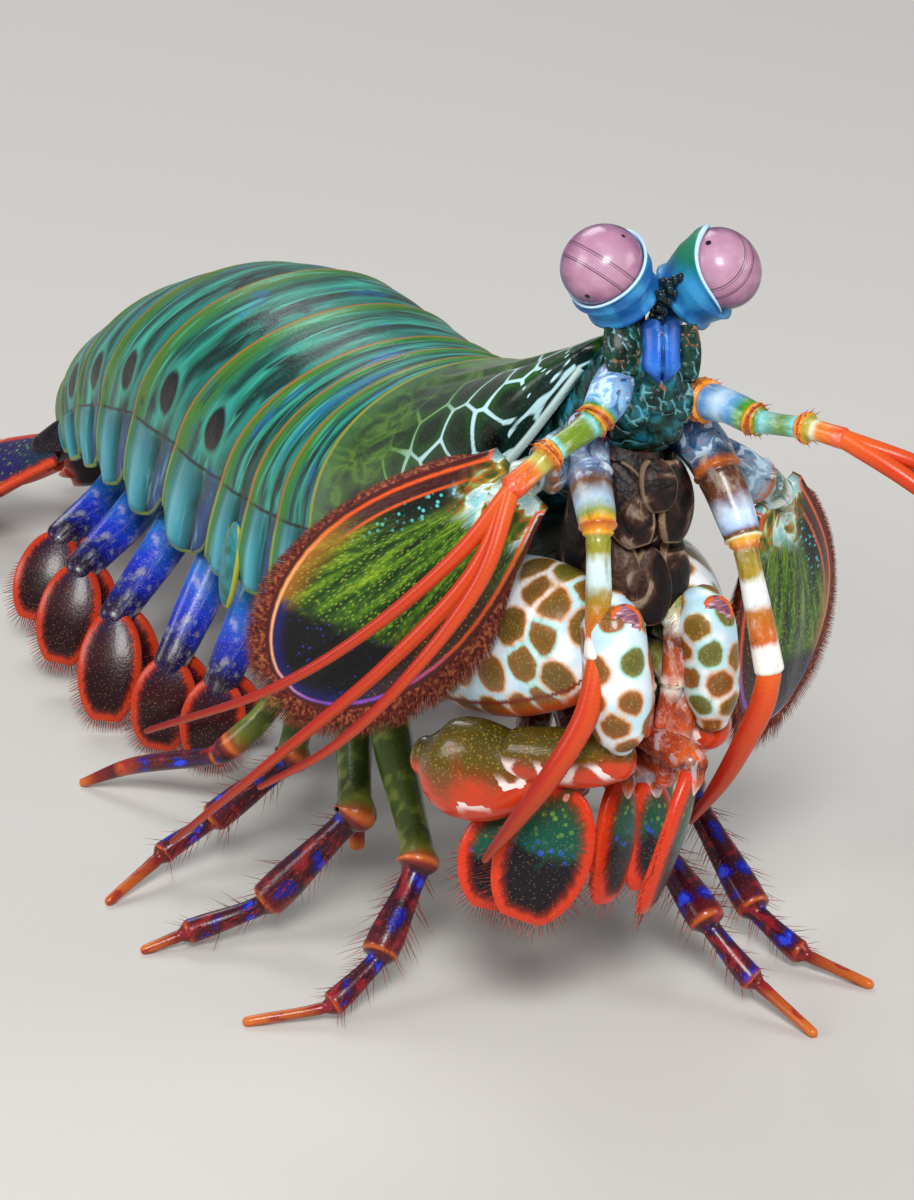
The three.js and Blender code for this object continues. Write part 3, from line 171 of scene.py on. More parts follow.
class Form:
    """A mesh in the making: points, faces, a UV for each face corner and named values on the points."""

    def __init__(self):
        self.points = []
        self.faces = []
        self.lie = []
        self.paint = []
        self.values = {}
        self.count = 0

    def add(self, points, faces, lie, paint=0, **values):
        start = self.count
        points = vec(points).reshape(-1, 3)
        for name in set(values) | set(self.values):
            held = self.values.setdefault(name, [np.zeros(start)] if start else [])
            held.append(np.ravel(np.broadcast_to(np.asarray(values.get(name, 0.0), float), (len(points),))))
        self.points.append(points)
        self.faces += [tuple(start + k for k in face) for face in faces]
        self.lie += lie
        self.paint += [paint] * len(faces)
        self.count += len(points)
        return self

    def skin(self, rings, paint=0, **values):
        """Faces between rings of points, with a fan over each end."""
        rings = vec(rings)
        rows, sides = rings.shape[:2]
        points = rings.reshape(-1, 3)
        faces = []
        lie = []
        for i in range(rows - 1):
            for k in range(sides):
                n = (k + 1) % sides
                faces.append((i * sides + k, i * sides + n, (i + 1) * sides + n, (i + 1) * sides + k))
                u0, u1, v0, v1 = k / sides, (k + 1) / sides, i / (rows - 1), (i + 1) / (rows - 1)
                lie += [(u0, v0), (u1, v0), (u1, v1), (u0, v1)]
        values = {name: np.asarray(value, float) * np.ones((rows, sides)) for name, value in values.items()}
        flat = {name: value.ravel() for name, value in values.items()}
        for row, turn in ((0, -1), (rows - 1, 1)):
            middle = len(points)
            points = np.vstack([points, rings[row].mean(axis=0)])
            for name in flat:
                flat[name] = np.append(flat[name], values[name][row].mean())
            for k in range(sides):
                a, b = row * sides + k, row * sides + (k + 1) % sides
                faces.append((middle, a, b) if turn > 0 else (middle, b, a))
                v = row / (rows - 1)
                u0, u1 = k / sides, (k + 1) / sides
                lie += [(u0, v), (u0, v), (u1, v)] if turn > 0 else [(u0, v), (u1, v), (u0, v)]
        return self.add(points, faces, lie, paint, **flat)

    def cells(self, pitch, seed, size=None, stretch=(1, 1, 1)):
        """Lays cells over all points so far, as the values middle, border and kind."""
        for key, value in patches(np.vstack(self.points), pitch, seed, size, stretch).items():
            self.values[key] = [value]
        return self

    def tube(self, rows, sides=20, step=0.5, side=(1, 0, 0), ends=(0.5, 0.5), relief=None, paint=0, **values):
        """A limb through rows [x, y, z, radius, flatness], with rounded ends. relief lifts the surface."""
        rows = [list(r) + [1.0] * (5 - len(r)) + [i / (len(rows) - 1)] for i, r in enumerate(rows)]
        length = sum(float(np.linalg.norm(vec(a[:3]) - vec(b[:3]))) for a, b in zip(rows, rows[1:]))
        count = max(6, int(length / step))
        line, length = curve(rows, count)
        heading, across, over = frames(line[:, :3], side)
        radius = np.maximum(line[:, 3], 0.02)
        flat = np.maximum(line[:, 4], 0.1)
        place = np.linspace(0, 1, count)
        mark = np.clip(line[:, 5], 0, 1)
        before = [(-ends[0] * radius[0] * (1 - s**2) ** 0.5, s) for s in END_SHARES]
        after = [(ends[1] * radius[-1] * (1 - s**2) ** 0.5, s) for s in END_SHARES]
        index = [0] * len(before) + list(range(count)) + [count - 1] * len(after)
        offsets = vec([o for o, _ in reversed(before)] + [0] * count + [o for o, _ in after])
        share = vec([s for _, s in reversed(before)] + [1] * count + [s for _, s in after])
        angle = 2 * np.pi * np.arange(sides) / sides
        u = place[index][:, None] * np.ones(sides)
        a = np.ones(len(index))[:, None] * angle
        m = mark[index][:, None] * np.ones(sides)
        lift = relief(u * length, lambda at: np.interp(at, mark, place * length)) if relief else np.zeros_like(u)
        r = radius[index][:, None] * share[:, None] + lift * share[:, None]
        f = (radius * flat)[index][:, None] * share[:, None] + lift * share[:, None]
        centre = line[index, :3] + heading[index] * offsets[:, None]
        rings = (centre[:, None, :] + across[index][:, None, :] * (f * np.cos(a))[..., None]
                 + over[index][:, None, :] * (r * np.sin(a))[..., None])
        return self.skin(rings, paint=paint, along=u, run=u * length, turn=a / (2 * np.pi), mark=m, **values)

    def blade(self, plate, rows=24, columns=12, paint=0, **values):
        """Both faces of a Plate, with the distance of each point from the plate's outline as rim."""
        u = (1 - np.cos(np.linspace(0, np.pi, rows + 1))) / 2
        s = np.sin(np.linspace(-np.pi / 2, np.pi / 2, columns + 1))
        share = np.concatenate([s, s[-2:0:-1]])
        face = np.concatenate([np.ones(columns + 1), -np.ones(columns - 1)])
        face[0] = face[columns] = 0
        uu, ss = u[:, None] * np.ones(len(share)), np.ones(len(u))[:, None] * share
        ff = face[None, :] * np.ones_like(uu)
        rings = plate.at(uu, ss, ff)
        edge = plate.outline(160)
        edge = edge[edge[:, 1] > 0.02 * plate.length]
        flat = np.stack([(ss * plate.breadth(uu)).ravel(), (uu * plate.length).ravel()], 1)
        rim = np.sqrt(((flat[:, None, :] - edge[None, :, :]) ** 2).sum(-1).min(1)).reshape(uu.shape)
        return self.skin(rings, paint=paint, along=uu, run=uu * plate.length, side=ss,
                         offset=ss * plate.breadth(uu), rim=rim, front=(ff > 0).astype(float), **values)

    def make(self, name, materials, replaces=(), slot=None):
        """The finished piece, in metres. replaces names the solids that it stands for."""
        mesh = bpy.data.meshes.new(name)
        points = (np.vstack(self.points) + SHIFT) * MM
        mesh.from_pydata(points.tolist(), [], self.faces)
        uv = mesh.uv_layers.new(name="Lie")
        uv.data.foreach_set("uv", vec(self.lie).ravel())
        for key, parts in self.values.items():
            field = mesh.attributes.new(key, "FLOAT", "POINT")
            field.data.foreach_set("value", np.concatenate(parts).astype(np.float32))
        materials = materials if isinstance(materials, (list, tuple)) else [materials]
        for material in materials:
            mesh.materials.append(material)
        mesh.polygons.foreach_set("material_index", self.paint)
        mesh.polygons.foreach_set("use_smooth", [True] * len(mesh.polygons))
        mesh.update()
        mesh.validate()
        shell = bmesh.new()
        shell.from_mesh(mesh)
        bmesh.ops.recalc_face_normals(shell, faces=shell.faces)
        shell.to_mesh(mesh)
        shell.free()
        return settle(placed(name, mesh), replaces)


class Plate:
    """A leaf-shaped plate. width(u) is its half width as a share of half, and it is thickest along its middle."""

    def __init__(self, root, tip, half, thick, facing, width, bow, wave=None, droop=None, bead=0.0, thin=0.35):
        self.root = vec(root)
        self.way = unit(vec(tip) - self.root)
        self.length = float(np.linalg.norm(vec(tip) - self.root))
        self.across, self.normal = across_of(self.way, facing)
        self.half, self.thick, self.width = half, thick, np.vectorize(width)
        self.bow, self.wave, self.droop, self.bead, self.thin = bow, wave, droop, bead, thin

    def breadth(self, u):
        return self.half * self.width(u)

    def lift(self, u, s):
        rise = self.bow * (np.sin(np.pi * u) - 0.5 * s**2 * self.width(u))
        return rise + (self.wave(u, s) if self.wave else 0)

    def at(self, u, s, face=0.0):
        """Points at share u of the length and s of the half width, on the front face at 1 or the back at -1."""
        u, s = np.asarray(u, float), np.asarray(s, float)
        body = self.thin + (1 - self.thin) * np.sqrt(np.maximum(0, 1 - s**2))
        body = body + self.bead * np.exp(-((1 - np.abs(s)) / 0.05) ** 2)
        depth = self.thick / 2 * body * face * np.sqrt(np.minimum(1, (1.02 - u) * 8))
        x = s * self.breadth(u)
        run = u * self.length + (self.droop(u, s) if self.droop else 0)
        return (self.root + self.way * run[..., None] + self.across * x[..., None]
                + self.normal * (self.lift(u, s) + depth)[..., None])

    def outline(self, count=160, first=0.0):
        """The plate's outline as (sideways, along) from one root corner round the tip to the other."""
        u = first + (1 - first) * (1 - np.cos(np.linspace(0, np.pi, 80))) / 2
        b = self.breadth(u)
        line = np.concatenate([np.stack([-b, u * self.length], 1), np.stack([b, u * self.length], 1)[::-1]])
        run = run_along(line)
        return resampled(np.linspace(0, run[-1], count), run, line)

    def fringe(self, pitch, length, first=0.1, lean=0.4, spread=0.0, inset=0.15, layers=1, seed=1):
        """Bristle roots round the edge. length(side, u) gives each bristle's length; side is -1 to 1."""
        draw = np.random.default_rng(seed)
        total = np.linalg.norm(np.diff(self.outline(400, first), axis=0), axis=1).sum()
        line = self.outline(max(8, int(total / pitch)), first)
        tangent = np.gradient(line, axis=0)
        tangent /= np.linalg.norm(tangent, axis=1)[:, None]
        out = np.stack([-tangent[:, 1], tangent[:, 0]], 1)
        roots, ways, lengths = [], [], []
        for layer in range(layers):
            for (x, y), (ox, oy) in zip(line, out):
                u = min(1.0, y / self.length)
                b = max(0.05, float(self.breadth(u)))
                side = float(np.clip(x / b, -1, 1))
                reach = length(side, u)
                if reach < 0.15:
                    continue
                root = self.at(u, side * (1 - inset / b), (layer - (layers - 1) / 2) * 0.8)
                jitter = draw.normal(0, spread, 3)
                way = self.across * ox + self.way * oy + self.way * lean
                way = unit(way + self.normal * (jitter[0] + (layer - (layers - 1) / 2) * 0.12) + self.way * jitter[1])
                roots.append(root + self.way * jitter[2] * 0.3)
                ways.append(way)
                lengths.append(reach * (0.9 + 0.2 * draw.random()))
        return roots, ways, [self.normal] * len(roots), lengths


def oval(u):
    return max(0.2, math.sqrt(max(0, 1 - ((u - 0.52) / 0.53) ** 2)))


def placed(name, data):
    """A new object in the scene."""
    thing = bpy.data.objects.new(name, data)
    bpy.context.scene.collection.objects.link(thing)
    return thing


def settle(piece, replaces=()):
    """Puts a finished piece on the body and hides the solids that it stands for."""
    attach(piece, "root")
    if replaces:
        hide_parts(*replaces)
    return piece


# Paint

def tint(code):
    """A linear colour from a six-digit screen colour."""
    parts = [int(code[i:i + 2], 16) / 255 for i in (0, 2, 4)]
    return tuple(c / 12.92 if c <= 0.04045 else ((c + 0.055) / 1.055) ** 2.4 for c in parts) + (1.0,)


class Paint:
    """The nodes of one material or group, added by short calls that give back sockets."""

    def __init__(self, name, tree=None):
        if tree is None:
            self.material = bpy.data.materials.new(name)
            self.material.use_nodes = True
            tree = self.material.node_tree
            tree.nodes.clear()
        self.tree = tree

    def add(self, kind, values=None, **settings):
        node = self.tree.nodes.new(kind)
        for key, value in settings.items():
            setattr(node, key, value)
        for key, value in (values or {}).items():
            self.put(node.inputs[key], value)
        return node

    def put(self, socket, value):
        if isinstance(value, bpy.types.NodeSocket):
            self.tree.links.new(value, socket)
        elif isinstance(value, str) and socket.type == "RGBA":
            socket.default_value = tint(value)
        else:
            socket.default_value = value

    def value(self, name):
        return self.add("ShaderNodeAttribute", attribute_name=name).outputs["Fac"]

    def place(self):
        return self.add("ShaderNodeTexCoord").outputs["Object"]

    def join(self, x=0.0, y=0.0, z=0.0):
        return self.add("ShaderNodeCombineXYZ", {"X": x, "Y": y, "Z": z}).outputs[0]

    def math(self, operation, a, b=0.0, clamp=False):
        return self.add("ShaderNodeMath", {0: a, 1: b}, operation=operation, use_clamp=clamp).outputs[0]

    def plus(self, a, b):
        return self.math("ADD", a, b)

    def minus(self, a, b):
        return self.math("SUBTRACT", a, b)

    def times(self, a, b):
        return self.math("MULTIPLY", a, b)

    def size(self, value):
        """value without its sign."""
        return self.math("ABSOLUTE", value)

    def stirred(self, value, noise, amount):
        """value moved up and down by a noise that swings round one half."""
        return self.plus(value, self.times(self.minus(noise, 0.5), amount))

    def ramp(self, value, low_end, high_end, start=0.0, stop=1.0):
        """start at low_end, stop at high_end and a smooth step between."""
        values = dict(enumerate((value, low_end, high_end, start, stop)))
        return self.add("ShaderNodeMapRange", values, interpolation_type="SMOOTHSTEP").outputs[0]

    def bell(self, value, centre, half):
        """1 at centre, falling to 0 at half to each side."""
        return self.ramp(self.size(self.minus(value, centre)), half, 0.0)

    def noise(self, vector, scale, detail=2.0, distortion=0.0):
        values = {"Vector": vector, "Scale": scale, "Detail": detail, "Distortion": distortion}
        return self.add("ShaderNodeTexNoise", values).outputs["Fac"]

    def cells(self, vector, scale):
        return self.add("ShaderNodeTexVoronoi", {"Vector": vector, "Scale": scale}).outputs["Distance"]

    def mix(self, factor, a, b):
        return self.add("ShaderNodeMix", {0: factor, 6: a, 7: b}, data_type="RGBA").outputs[2]

    def shade(self, first, second, value, start, end, share=1.0):
        """first turning into second, or by a share of the way, as value goes from start to end."""
        return self.mix(self.ramp(value, start, end, 0.0, share), first, second)

    def stripe(self, ground, line, value, centre, half):
        """A line over the ground where value is near centre."""
        return self.mix(self.bell(value, centre, half), ground, line)

    def scale(self, value, stops, interpolation="LINEAR"):
        """A colour scale: stops are (place, colour)."""
        node = self.add("ShaderNodeValToRGB")
        band = node.color_ramp
        band.interpolation = interpolation
        while len(band.elements) < len(stops):
            band.elements.new(0.5)
        for element, (place, colour) in zip(band.elements, stops):
            element.position = place
            element.color = tint(colour)
        self.put(node.inputs[0], value)
        return node.outputs[0]

    def group(self, tree, **values):
        node = self.add("ShaderNodeGroup", node_tree=tree)
        for key, number in values.items():
            self.put(node.inputs[key.replace("_", " ")], number)
        return node.outputs

    def bump(self, height, depth_mm):
        return self.add("ShaderNodeBump", {"Height": height, "Distance": depth_mm * MM}).outputs[0]

    def finish(self, colour, roughness, normal=None, coat=0.0, coat_roughness=0.03):
        """The shader and the material's output. coat is the weight of a clear layer on top."""
        shader = self.add("ShaderNodeBsdfPrincipled", {
            "Base Color": colour, "Roughness": roughness, "Specular IOR Level": SPECULAR,
            "Coat Weight": coat, "Coat Roughness": coat_roughness})
        if normal is not None:
            self.put(shader.inputs["Normal"], normal)
        self.add("ShaderNodeOutputMaterial", {"Surface": shader.outputs[0]})
        return self.material


def new_group(name, inputs, outputs):
    tree = bpy.data.node_groups.new(name, "ShaderNodeTree")
    for key, (kind, default) in inputs.items():
        socket = tree.interface.new_socket(key, in_out="INPUT", socket_type=kind)
        if default is not None:
            socket.default_value = default
    for key, kind in outputs.items():
        tree.interface.new_socket(key, in_out="OUTPUT", socket_type=kind)
    p = Paint(name, tree)
    entry = tree.nodes.new("NodeGroupInput")
    leave = tree.nodes.new("NodeGroupOutput")
    return tree, p, entry.outputs, leave.inputs


def shell_grain():
    """Fine pits and mottling that every shell plate shows. Size is the grain's pitch in millimetres."""
    tree, p, got, out = new_group(
        "shell grain",
        {"Size": ("NodeSocketFloat", 0.5), "Mottle size": ("NodeSocketFloat", 4.0)},
        {"Height": "NodeSocketFloat", "Fleck": "NodeSocketFloat", "Mottle": "NodeSocketFloat"},
    )
    place = p.place()
    fine = p.math("DIVIDE", 1 / MM, got["Size"])
    broad = p.math("DIVIDE", 1 / MM, got["Mottle size"])
    pits = p.cells(place, fine)
    grain = p.noise(place, fine, 3.0)
    p.put(out["Height"], p.plus(p.times(pits, 0.5), p.times(grain, 0.5)))
    p.put(out["Fleck"], p.ramp(p.cells(place, fine), 0.28, 0.08))
    p.put(out["Mottle"], p.noise(place, broad, 3.0, 0.4))
    return tree


GRAIN = shell_grain()


def plain(name, colour, second):
    """A mottled shell of two close colours."""
    p = Paint(name)
    grained = p.group(GRAIN, Size=0.2, Mottle_size=1.0)
    mixed = p.shade(colour, second, grained["Mottle"], 0.35, 0.65)
    return p.finish(mixed, 0.4, p.bump(grained["Height"], 0.04), 0.3, 0.15)


def tergite_paint():
    """Teal rings with dark and light bands, a thin orange rear edge, black spots and two-toned side flaps. Each ring
    and flap is painted darkest at its front edge, as painted shadow cast by the rear edge of the ring before.
    """
    p = Paint("trunk rings")
    along, down, arc, ring = p.value("along"), p.value("down"), p.value("arc"), p.value("ring")
    grained = p.group(GRAIN, Size=0.35, Mottle_size=5.0)
    streak = p.noise(p.join(p.times(arc, 0.1), p.times(along, 5.0), ring), 1.0, 4.0, 0.5)
    bend = p.noise(p.join(p.times(arc, 0.09), p.times(along, 0.8), ring), 1.0, 1.0)
    wavy = p.stirred(along, streak, 0.34)
    wavy = p.stirred(wavy, bend, 0.3)
    # The first stop, at each ring's front edge, is painted shadow cast by the rear edge of the ring before.
    back = p.scale(wavy, [
        (0.0, "02100e"), (0.1, "0e5a4c"), (0.22, "1f8476"), (0.3, "0c4a40"), (0.38, "04241e"), (0.5, "1a7a66"),
        (0.58, "2a9c88"), (0.66, "0e5648"), (0.74, "0a3c34"), (0.82, "1a6e50"), (0.9, "2c7434"), (1.0, "4a6e1c")])
    blotch = p.noise(p.join(p.times(arc, 0.13), p.times(along, 2.6), ring), 1.0, 2.0, 0.3)
    back = p.shade(back, "02100c", blotch, 0.57, 0.68, 0.85)
    back = p.shade(back, "14609a", blotch, 0.42, 0.3, 0.75)
    pale = p.noise(p.join(p.times(arc, 0.1), p.times(along, 11.0), ring), 1.0, 3.0, 0.4)
    back = p.shade(back, "4cc4ac", pale, 0.56, 0.7, 0.6)
    back = p.shade(back, "042a22", pale, 0.42, 0.3, 0.6)
    shifted = p.stirred(along, streak, 0.16)
    # Its first stop is the same painted shadow at the front edge of the flap.
    flap = p.scale(shifted, [
        (0.0, "02100f"), (0.08, "0a2a58"), (0.2, "12407e"), (0.34, "0c2a54"), (0.4, "020a0e"), (0.46, "10646e"),
        (0.58, "2a98a8"), (0.76, "62bccc"), (0.9, "2a8a88"), (1.0, "2c7a54")])
    flap = p.shade(flap, "8ad8dc", pale, 0.56, 0.7, 0.35)
    flap = p.shade(flap, "07423a", down, 0.7, 0.1, 0.6)
    colour = p.shade(back, flap, p.plus(down, p.times(streak, 0.1)), 0.04, 0.2)
    colour = p.stripe(colour, "020a08", down, 0.06, 0.035)
    spot = p.stirred(p.value("spot"), streak, 0.6)
    colour = p.shade(colour, "38a08c", spot, 1.9, 1.1, 0.6)
    colour = p.shade(colour, "010202", spot, 1.2, 0.85)
    margin = p.value("margin")
    thin = p.plus(margin, p.times(pale, 0.3))
    colour = p.shade(colour, "3f7a2c", thin, 1.7, 0.9, 0.6)
    colour = p.shade(colour, p.shade("a4681e", "8a9a34", down, 0.0, 0.3), thin, 0.66, 0.5, 0.9)
    colour = p.mix(p.times(p.ramp(p.value("hem"), 0.6, 0.25), p.ramp(down, 0.3, 0.6, 0.0, 0.8)), colour, "93a640")
    colour = p.shade(colour, "2a1512", p.value("under"), 0.3, 0.7)
    rough = p.ramp(grained["Mottle"], 0.3, 0.7, 0.34, 0.48)
    return p.finish(colour, rough, p.bump(p.plus(grained["Height"], p.times(pale, 2.0)), 0.05),
                    0.1, 0.2)


def shield_paint():
    """Olive shield with dark streaks behind, and large rounded dark cells in a pale net on its front flanks."""
    p = Paint("head shield")
    arc, along, hem = p.value("arc"), p.value("along"), p.value("hem")
    border, kind, rear = p.value("border"), p.value("kind"), p.value("rear")
    aside = p.size(arc)
    grained = p.group(GRAIN, Size=0.35, Mottle_size=4.0)
    streak = p.noise(p.join(p.times(arc, 0.34), p.times(along, 0.13)), 1.0, 4.0, 1.0)
    olive = p.scale(streak, [
        (0.3, "030c03"), (0.42, "163408"), (0.5, "2c540c"), (0.58, "52781a"), (0.64, "2c5410"), (0.72, "0e2c0a")])
    olive = p.shade(olive, "0b3020", aside, 8.0, 1.0, 0.75)
    olive = p.shade(olive, "3f7038", rear, 5.0, 1.5, 0.6)
    front = p.ramp(p.plus(along, p.times(grained["Mottle"], 5.0)), 29.0, 20.0)
    flank = p.ramp(p.minus(aside, p.times(along, 0.3)), 1.0, 3.0)
    here = p.times(front, flank)
    low = p.ramp(hem, 12.0, 3.0)
    deep = p.mix(low, "0c2408", "010504")
    edge = p.mix(low, p.shade("123a10", "265418", kind, 0.3, 0.8), "08241e")
    cell = p.shade(edge, deep, border, 0.4, 1.15)
    line = p.shade("bfe6ea", "6f9c4a", p.minus(along, p.times(hem, -0.3)), 15.0, 26.0)
    leopard = p.shade(line, cell, border, 0.1, 0.24)
    colour = p.mix(here, olive, leopard)
    colour = p.shade(colour, p.shade("123c12", "3c7a1e", streak, 0.4, 0.6), aside, 3.2, 2.4, 0.85)
    colour = p.mix(p.times(p.ramp(hem, 0.6, 0.3), p.ramp(rear, 0.5, 3.0)), colour, "cfeae6")
    colour = p.shade(colour, "98962e", rear, 0.9, 0.5, 0.85)
    colour = p.mix(p.times(grained["Fleck"], 0.12), colour, "9ac06a")
    return p.finish(colour, p.ramp(grained["Mottle"], 0.3, 0.7, 0.28, 0.42), p.bump(grained["Height"], 0.04),
                    0.2, 0.18)


def face_paint(name, dark, middle, light):
    """Dark blue-green plates parted by fine pale and orange lines."""
    p = Paint(name)
    place = p.place()
    grained = p.group(GRAIN, Size=0.25, Mottle_size=1.8)
    border = p.value("border")
    colour = p.scale(grained["Mottle"], [(0.34, dark), (0.5, middle), (0.62, light), (0.76, "2f78a4")])
    line = p.shade("7cc4d4", "c8682a", p.noise(place, 300.0, 1.0), 0.52, 0.58)
    colour = p.shade(colour, line, border, 0.1, 0.03, 0.5)
    height = p.plus(p.ramp(border, 0.0, 0.5), p.times(grained["Height"], 0.2))
    return p.finish(colour, 0.34, p.bump(height, 0.25), 0.2, 0.2)


def heart_paint():
    """Bright blue plate, darker at its ends, its middle groove and its edge."""
    p = Paint("heart plate")
    grained = p.group(GRAIN, Size=0.2, Mottle_size=1.6)
    colour = p.scale(p.value("along"), [(0.0, "0a2a5c"), (0.3, "1450a8"), (0.7, "1c62c8"), (1.0, "0c3478")])
    colour = p.shade(colour, "04142c", p.size(p.value("side")), 0.16, 0.0, 0.85)
    colour = p.shade(colour, "071c3c", p.size(p.value("side")), 0.75, 1.0, 0.6)
    colour = p.shade(colour, "3a8ae0", grained["Mottle"], 0.5, 0.7, 0.4)
    return p.finish(colour, 0.34, p.bump(grained["Height"], 0.04), 0.2, 0.2)


def cornea_paint(side, low, high):
    """Lilac cornea with the dark lines of its middle band and dark pupils. Its purple edge is painted shade: paler
    where it faces the camera, darker towards its outline as seen from the camera, with a painted pale rim highlight
    at the outline itself.
    """
    p = Paint("cornea " + side)
    band = p.value("band")
    # Painted shade: limb runs from the middle of the cornea as seen from the camera to its outline, so this scale
    # darkens the cornea towards its outline and ends in a painted pale rim highlight there.
    colour = p.scale(p.value("limb"), [
        (0.0, "b68aa2"), (0.5, "a8758f"), (0.78, "855276"), (0.9, "4c2a58"), (0.96, "352048"), (1.0, "9a88c0")])
    facets = p.noise(p.place(), 700.0, 3.0)
    colour = p.shade(colour, "dcb8c8", facets, 0.35, 0.75, 0.25)
    stripe = p.math("PINGPONG", band, 0.1)
    middle = (low + high) / 2
    near = p.ramp(p.size(p.minus(band, middle)), 1.5, 0.7)
    colour = p.mix(p.times(p.times(p.ramp(stripe, 0.04, 0.0), near), 0.32), colour, "5c3450")
    for level, width in ((low, 0.075), (low + 0.19, 0.045), (high, 0.085), (high - 0.17, 0.045)):
        colour = p.stripe(colour, "1c0c18", band, level, width)
    colour = p.shade(colour, "12080f", p.value("pupil"), 0.1, -0.04)
    return p.finish(colour, 0.3, p.bump(stripe, 0.02), 0.35, 0.16)


def cup_paint(side):
    """Blue cup with a green flush on top, a pale rim and a dark line behind its collar."""
    p = Paint("eye cup " + side)
    grained = p.group(GRAIN, Size=0.22, Mottle_size=2.6)
    along, height = p.value("along"), p.value("height")
    blue = p.shade("1a62a8", "3594cc", grained["Mottle"], 0.35, 0.65)
    flush = p.ramp(p.plus(height, p.times(grained["Mottle"], 1.4)), 0.2, 2.4)
    colour = p.mix(flush, blue, "1c7a5c" if side == "left" else "1f7f9c")
    colour = p.stripe(colour, "061226", along, 0.44, 0.03)
    colour = p.shade(colour, "0a2448", along, 0.33, 0.2)
    colour = p.stripe(colour, "74c4e4", along, 0.485, 0.022)
    colour = p.shade(colour, "b8dcf0", p.value("lip"), 0.3, 0.75)
    return p.finish(colour, 0.36, p.bump(grained["Height"], 0.05), 0.25, 0.2)


HEAD = face_paint("face plates", "04120f", "0a3a34", "1a6a78")
FACE_GREEN = face_paint("dark side plates", "020a06", "0a2c1c", "10443c")
HEART = heart_paint()
CARAPACE = shield_paint()
TERGITE = tergite_paint()


# Trunk

# Each row: y, then middle x, top z, half breadth, height of the dome, depth of the belly, tilt in degrees, sweep.
TRUNK = [
    (36, 16.8, 52.8, 15.6, 15.5, 9.0, -12, 0), (42, 16.9, 52.0, 15.8, 16.0, 9.5, -14, 0.1),
    (48, 17.0, 51.2, 16.0, 16.0, 9.5, -15, 0.2), (54, 17.1, 50.7, 16.1, 16.0, 9.5, -15, 0.3),
    (66, 17.4, 50.3, 16.4, 16.0, 9.2, -12, 0.4), (80, 18.0, 49.4, 16.6, 16.0, 8.4, -5, 0.42),
    (94, 18.6, 45.8, 16.4, 15.5, 6.8, 4, 0.4), (107, 19.2, 40.4, 16.0, 14.0, 5.0, 14, 0.34),
    (119, 19.6, 33.8, 15.0, 12.0, 4.0, 24, 0.26), (129, 19.8, 27.6, 13.0, 10.0, 3.2, 32, 0.18),
]
# Each ring's node, then the drop of its side flap, its place along the ring and its half width.
SOMITES = [
    ("thorax_6", 1.0, 0.6, 0.5), ("thorax_7", 2.2, 0.6, 0.5), ("thorax_8", 3.0, 0.6, 0.5),
    ("abdomen_1", 4.0, 0.55, 0.42), ("abdomen_2", 4.2, 0.6, 0.42), ("abdomen_3", 3.6, 0.6, 0.42),
    ("abdomen_4", 3.0, 0.6, 0.42), ("abdomen_5", 2.4, 0.6, 0.42), ("abdomen_6", 1.0, 0.6, 0.42),
]
TRUNK_KNOTS = vec([row[0] for row in TRUNK])
TRUNK_ROWS = vec([row[1:] for row in TRUNK])
PLEURON_WALL = 1.5
RING_OVER = 57
RING_SIDE = 12
SPOTTED = ("abdomen_1", "abdomen_2", "abdomen_3", "abdomen_4", "abdomen_5")
SPOT_AT = 0.86
SPOT_ALONG = 1.9
SPOT_ACROSS = 2.6


def dome_line(half, rise, count, fullness):
    """Points over the back from one side to the other. A lower fullness makes squarer shoulders."""
    angle = np.pi * (1 - np.linspace(0, 1, count))
    return np.stack([half * np.cos(angle), rise * np.sin(angle) ** fullness], 1)


def trunk_at(y):
    return hermite(TRUNK_KNOTS, TRUNK_ROWS, vec([y]))[0]


def arch_ring(y, skirt_extra, proud, fold=0.0):
    """A section of the trunk, with each point's distance from the midline and share of the way down the flap."""
    x, top, half, dome, belly, tilt, sweep = trunk_at(y)
    half += proud
    dome += proud
    lean = math.radians(tilt)
    up = vec([0, math.sin(lean), math.cos(lean)])
    middle = vec([x, y, top - dome + proud])
    skirt = belly + 0.2 + skirt_extra
    over = dome_line(half, dome, RING_OVER, 0.9)
    reach = np.linspace(0, 1, RING_SIDE + 1)[1:]
    side = np.stack([half * (1 + 0.012 * np.sin(np.pi * reach)) - 0.25 * reach**4 - fold * ease(reach, 0, 0.25),
                     -skirt * reach], 1)
    inner = vec([[half - 0.75, -skirt - 0.12], [half - PLEURON_WALL, -skirt + 0.1],
                 [half - PLEURON_WALL * 1.6, -belly * 0.9], [half * 0.7, -belly * 0.96], [half * 0.5, -belly],
                 [half * 0.25, -belly * 1.04]])
    right = np.concatenate([inner[::-1] * [-1, 1], side[::-1] * [-1, 1]])
    outline = np.concatenate([[[0, -belly * 1.06]], right, over, side, inner])
    arc = run_along(outline)
    arc -= arc[1 + len(right) + RING_OVER // 2]
    shoulder = math.pi / 2 * half
    flat = np.zeros(len(inner))
    down = np.concatenate([[0], flat, reach[::-1], np.zeros(RING_OVER), reach, flat])
    under = np.zeros(len(outline))
    under[:len(inner)] = 1
    under[1 - len(inner):] = 1
    points = middle + np.outer(outline[:, 0], [1, 0, 0]) + np.outer(outline[:, 1], up)
    points[:, 1] += sweep * (dome - outline[:, 1])
    hem = np.where(under > 0, FAR, np.maximum(0, outline[:, 1] + skirt))
    return points, arc, down, under, hem, shoulder


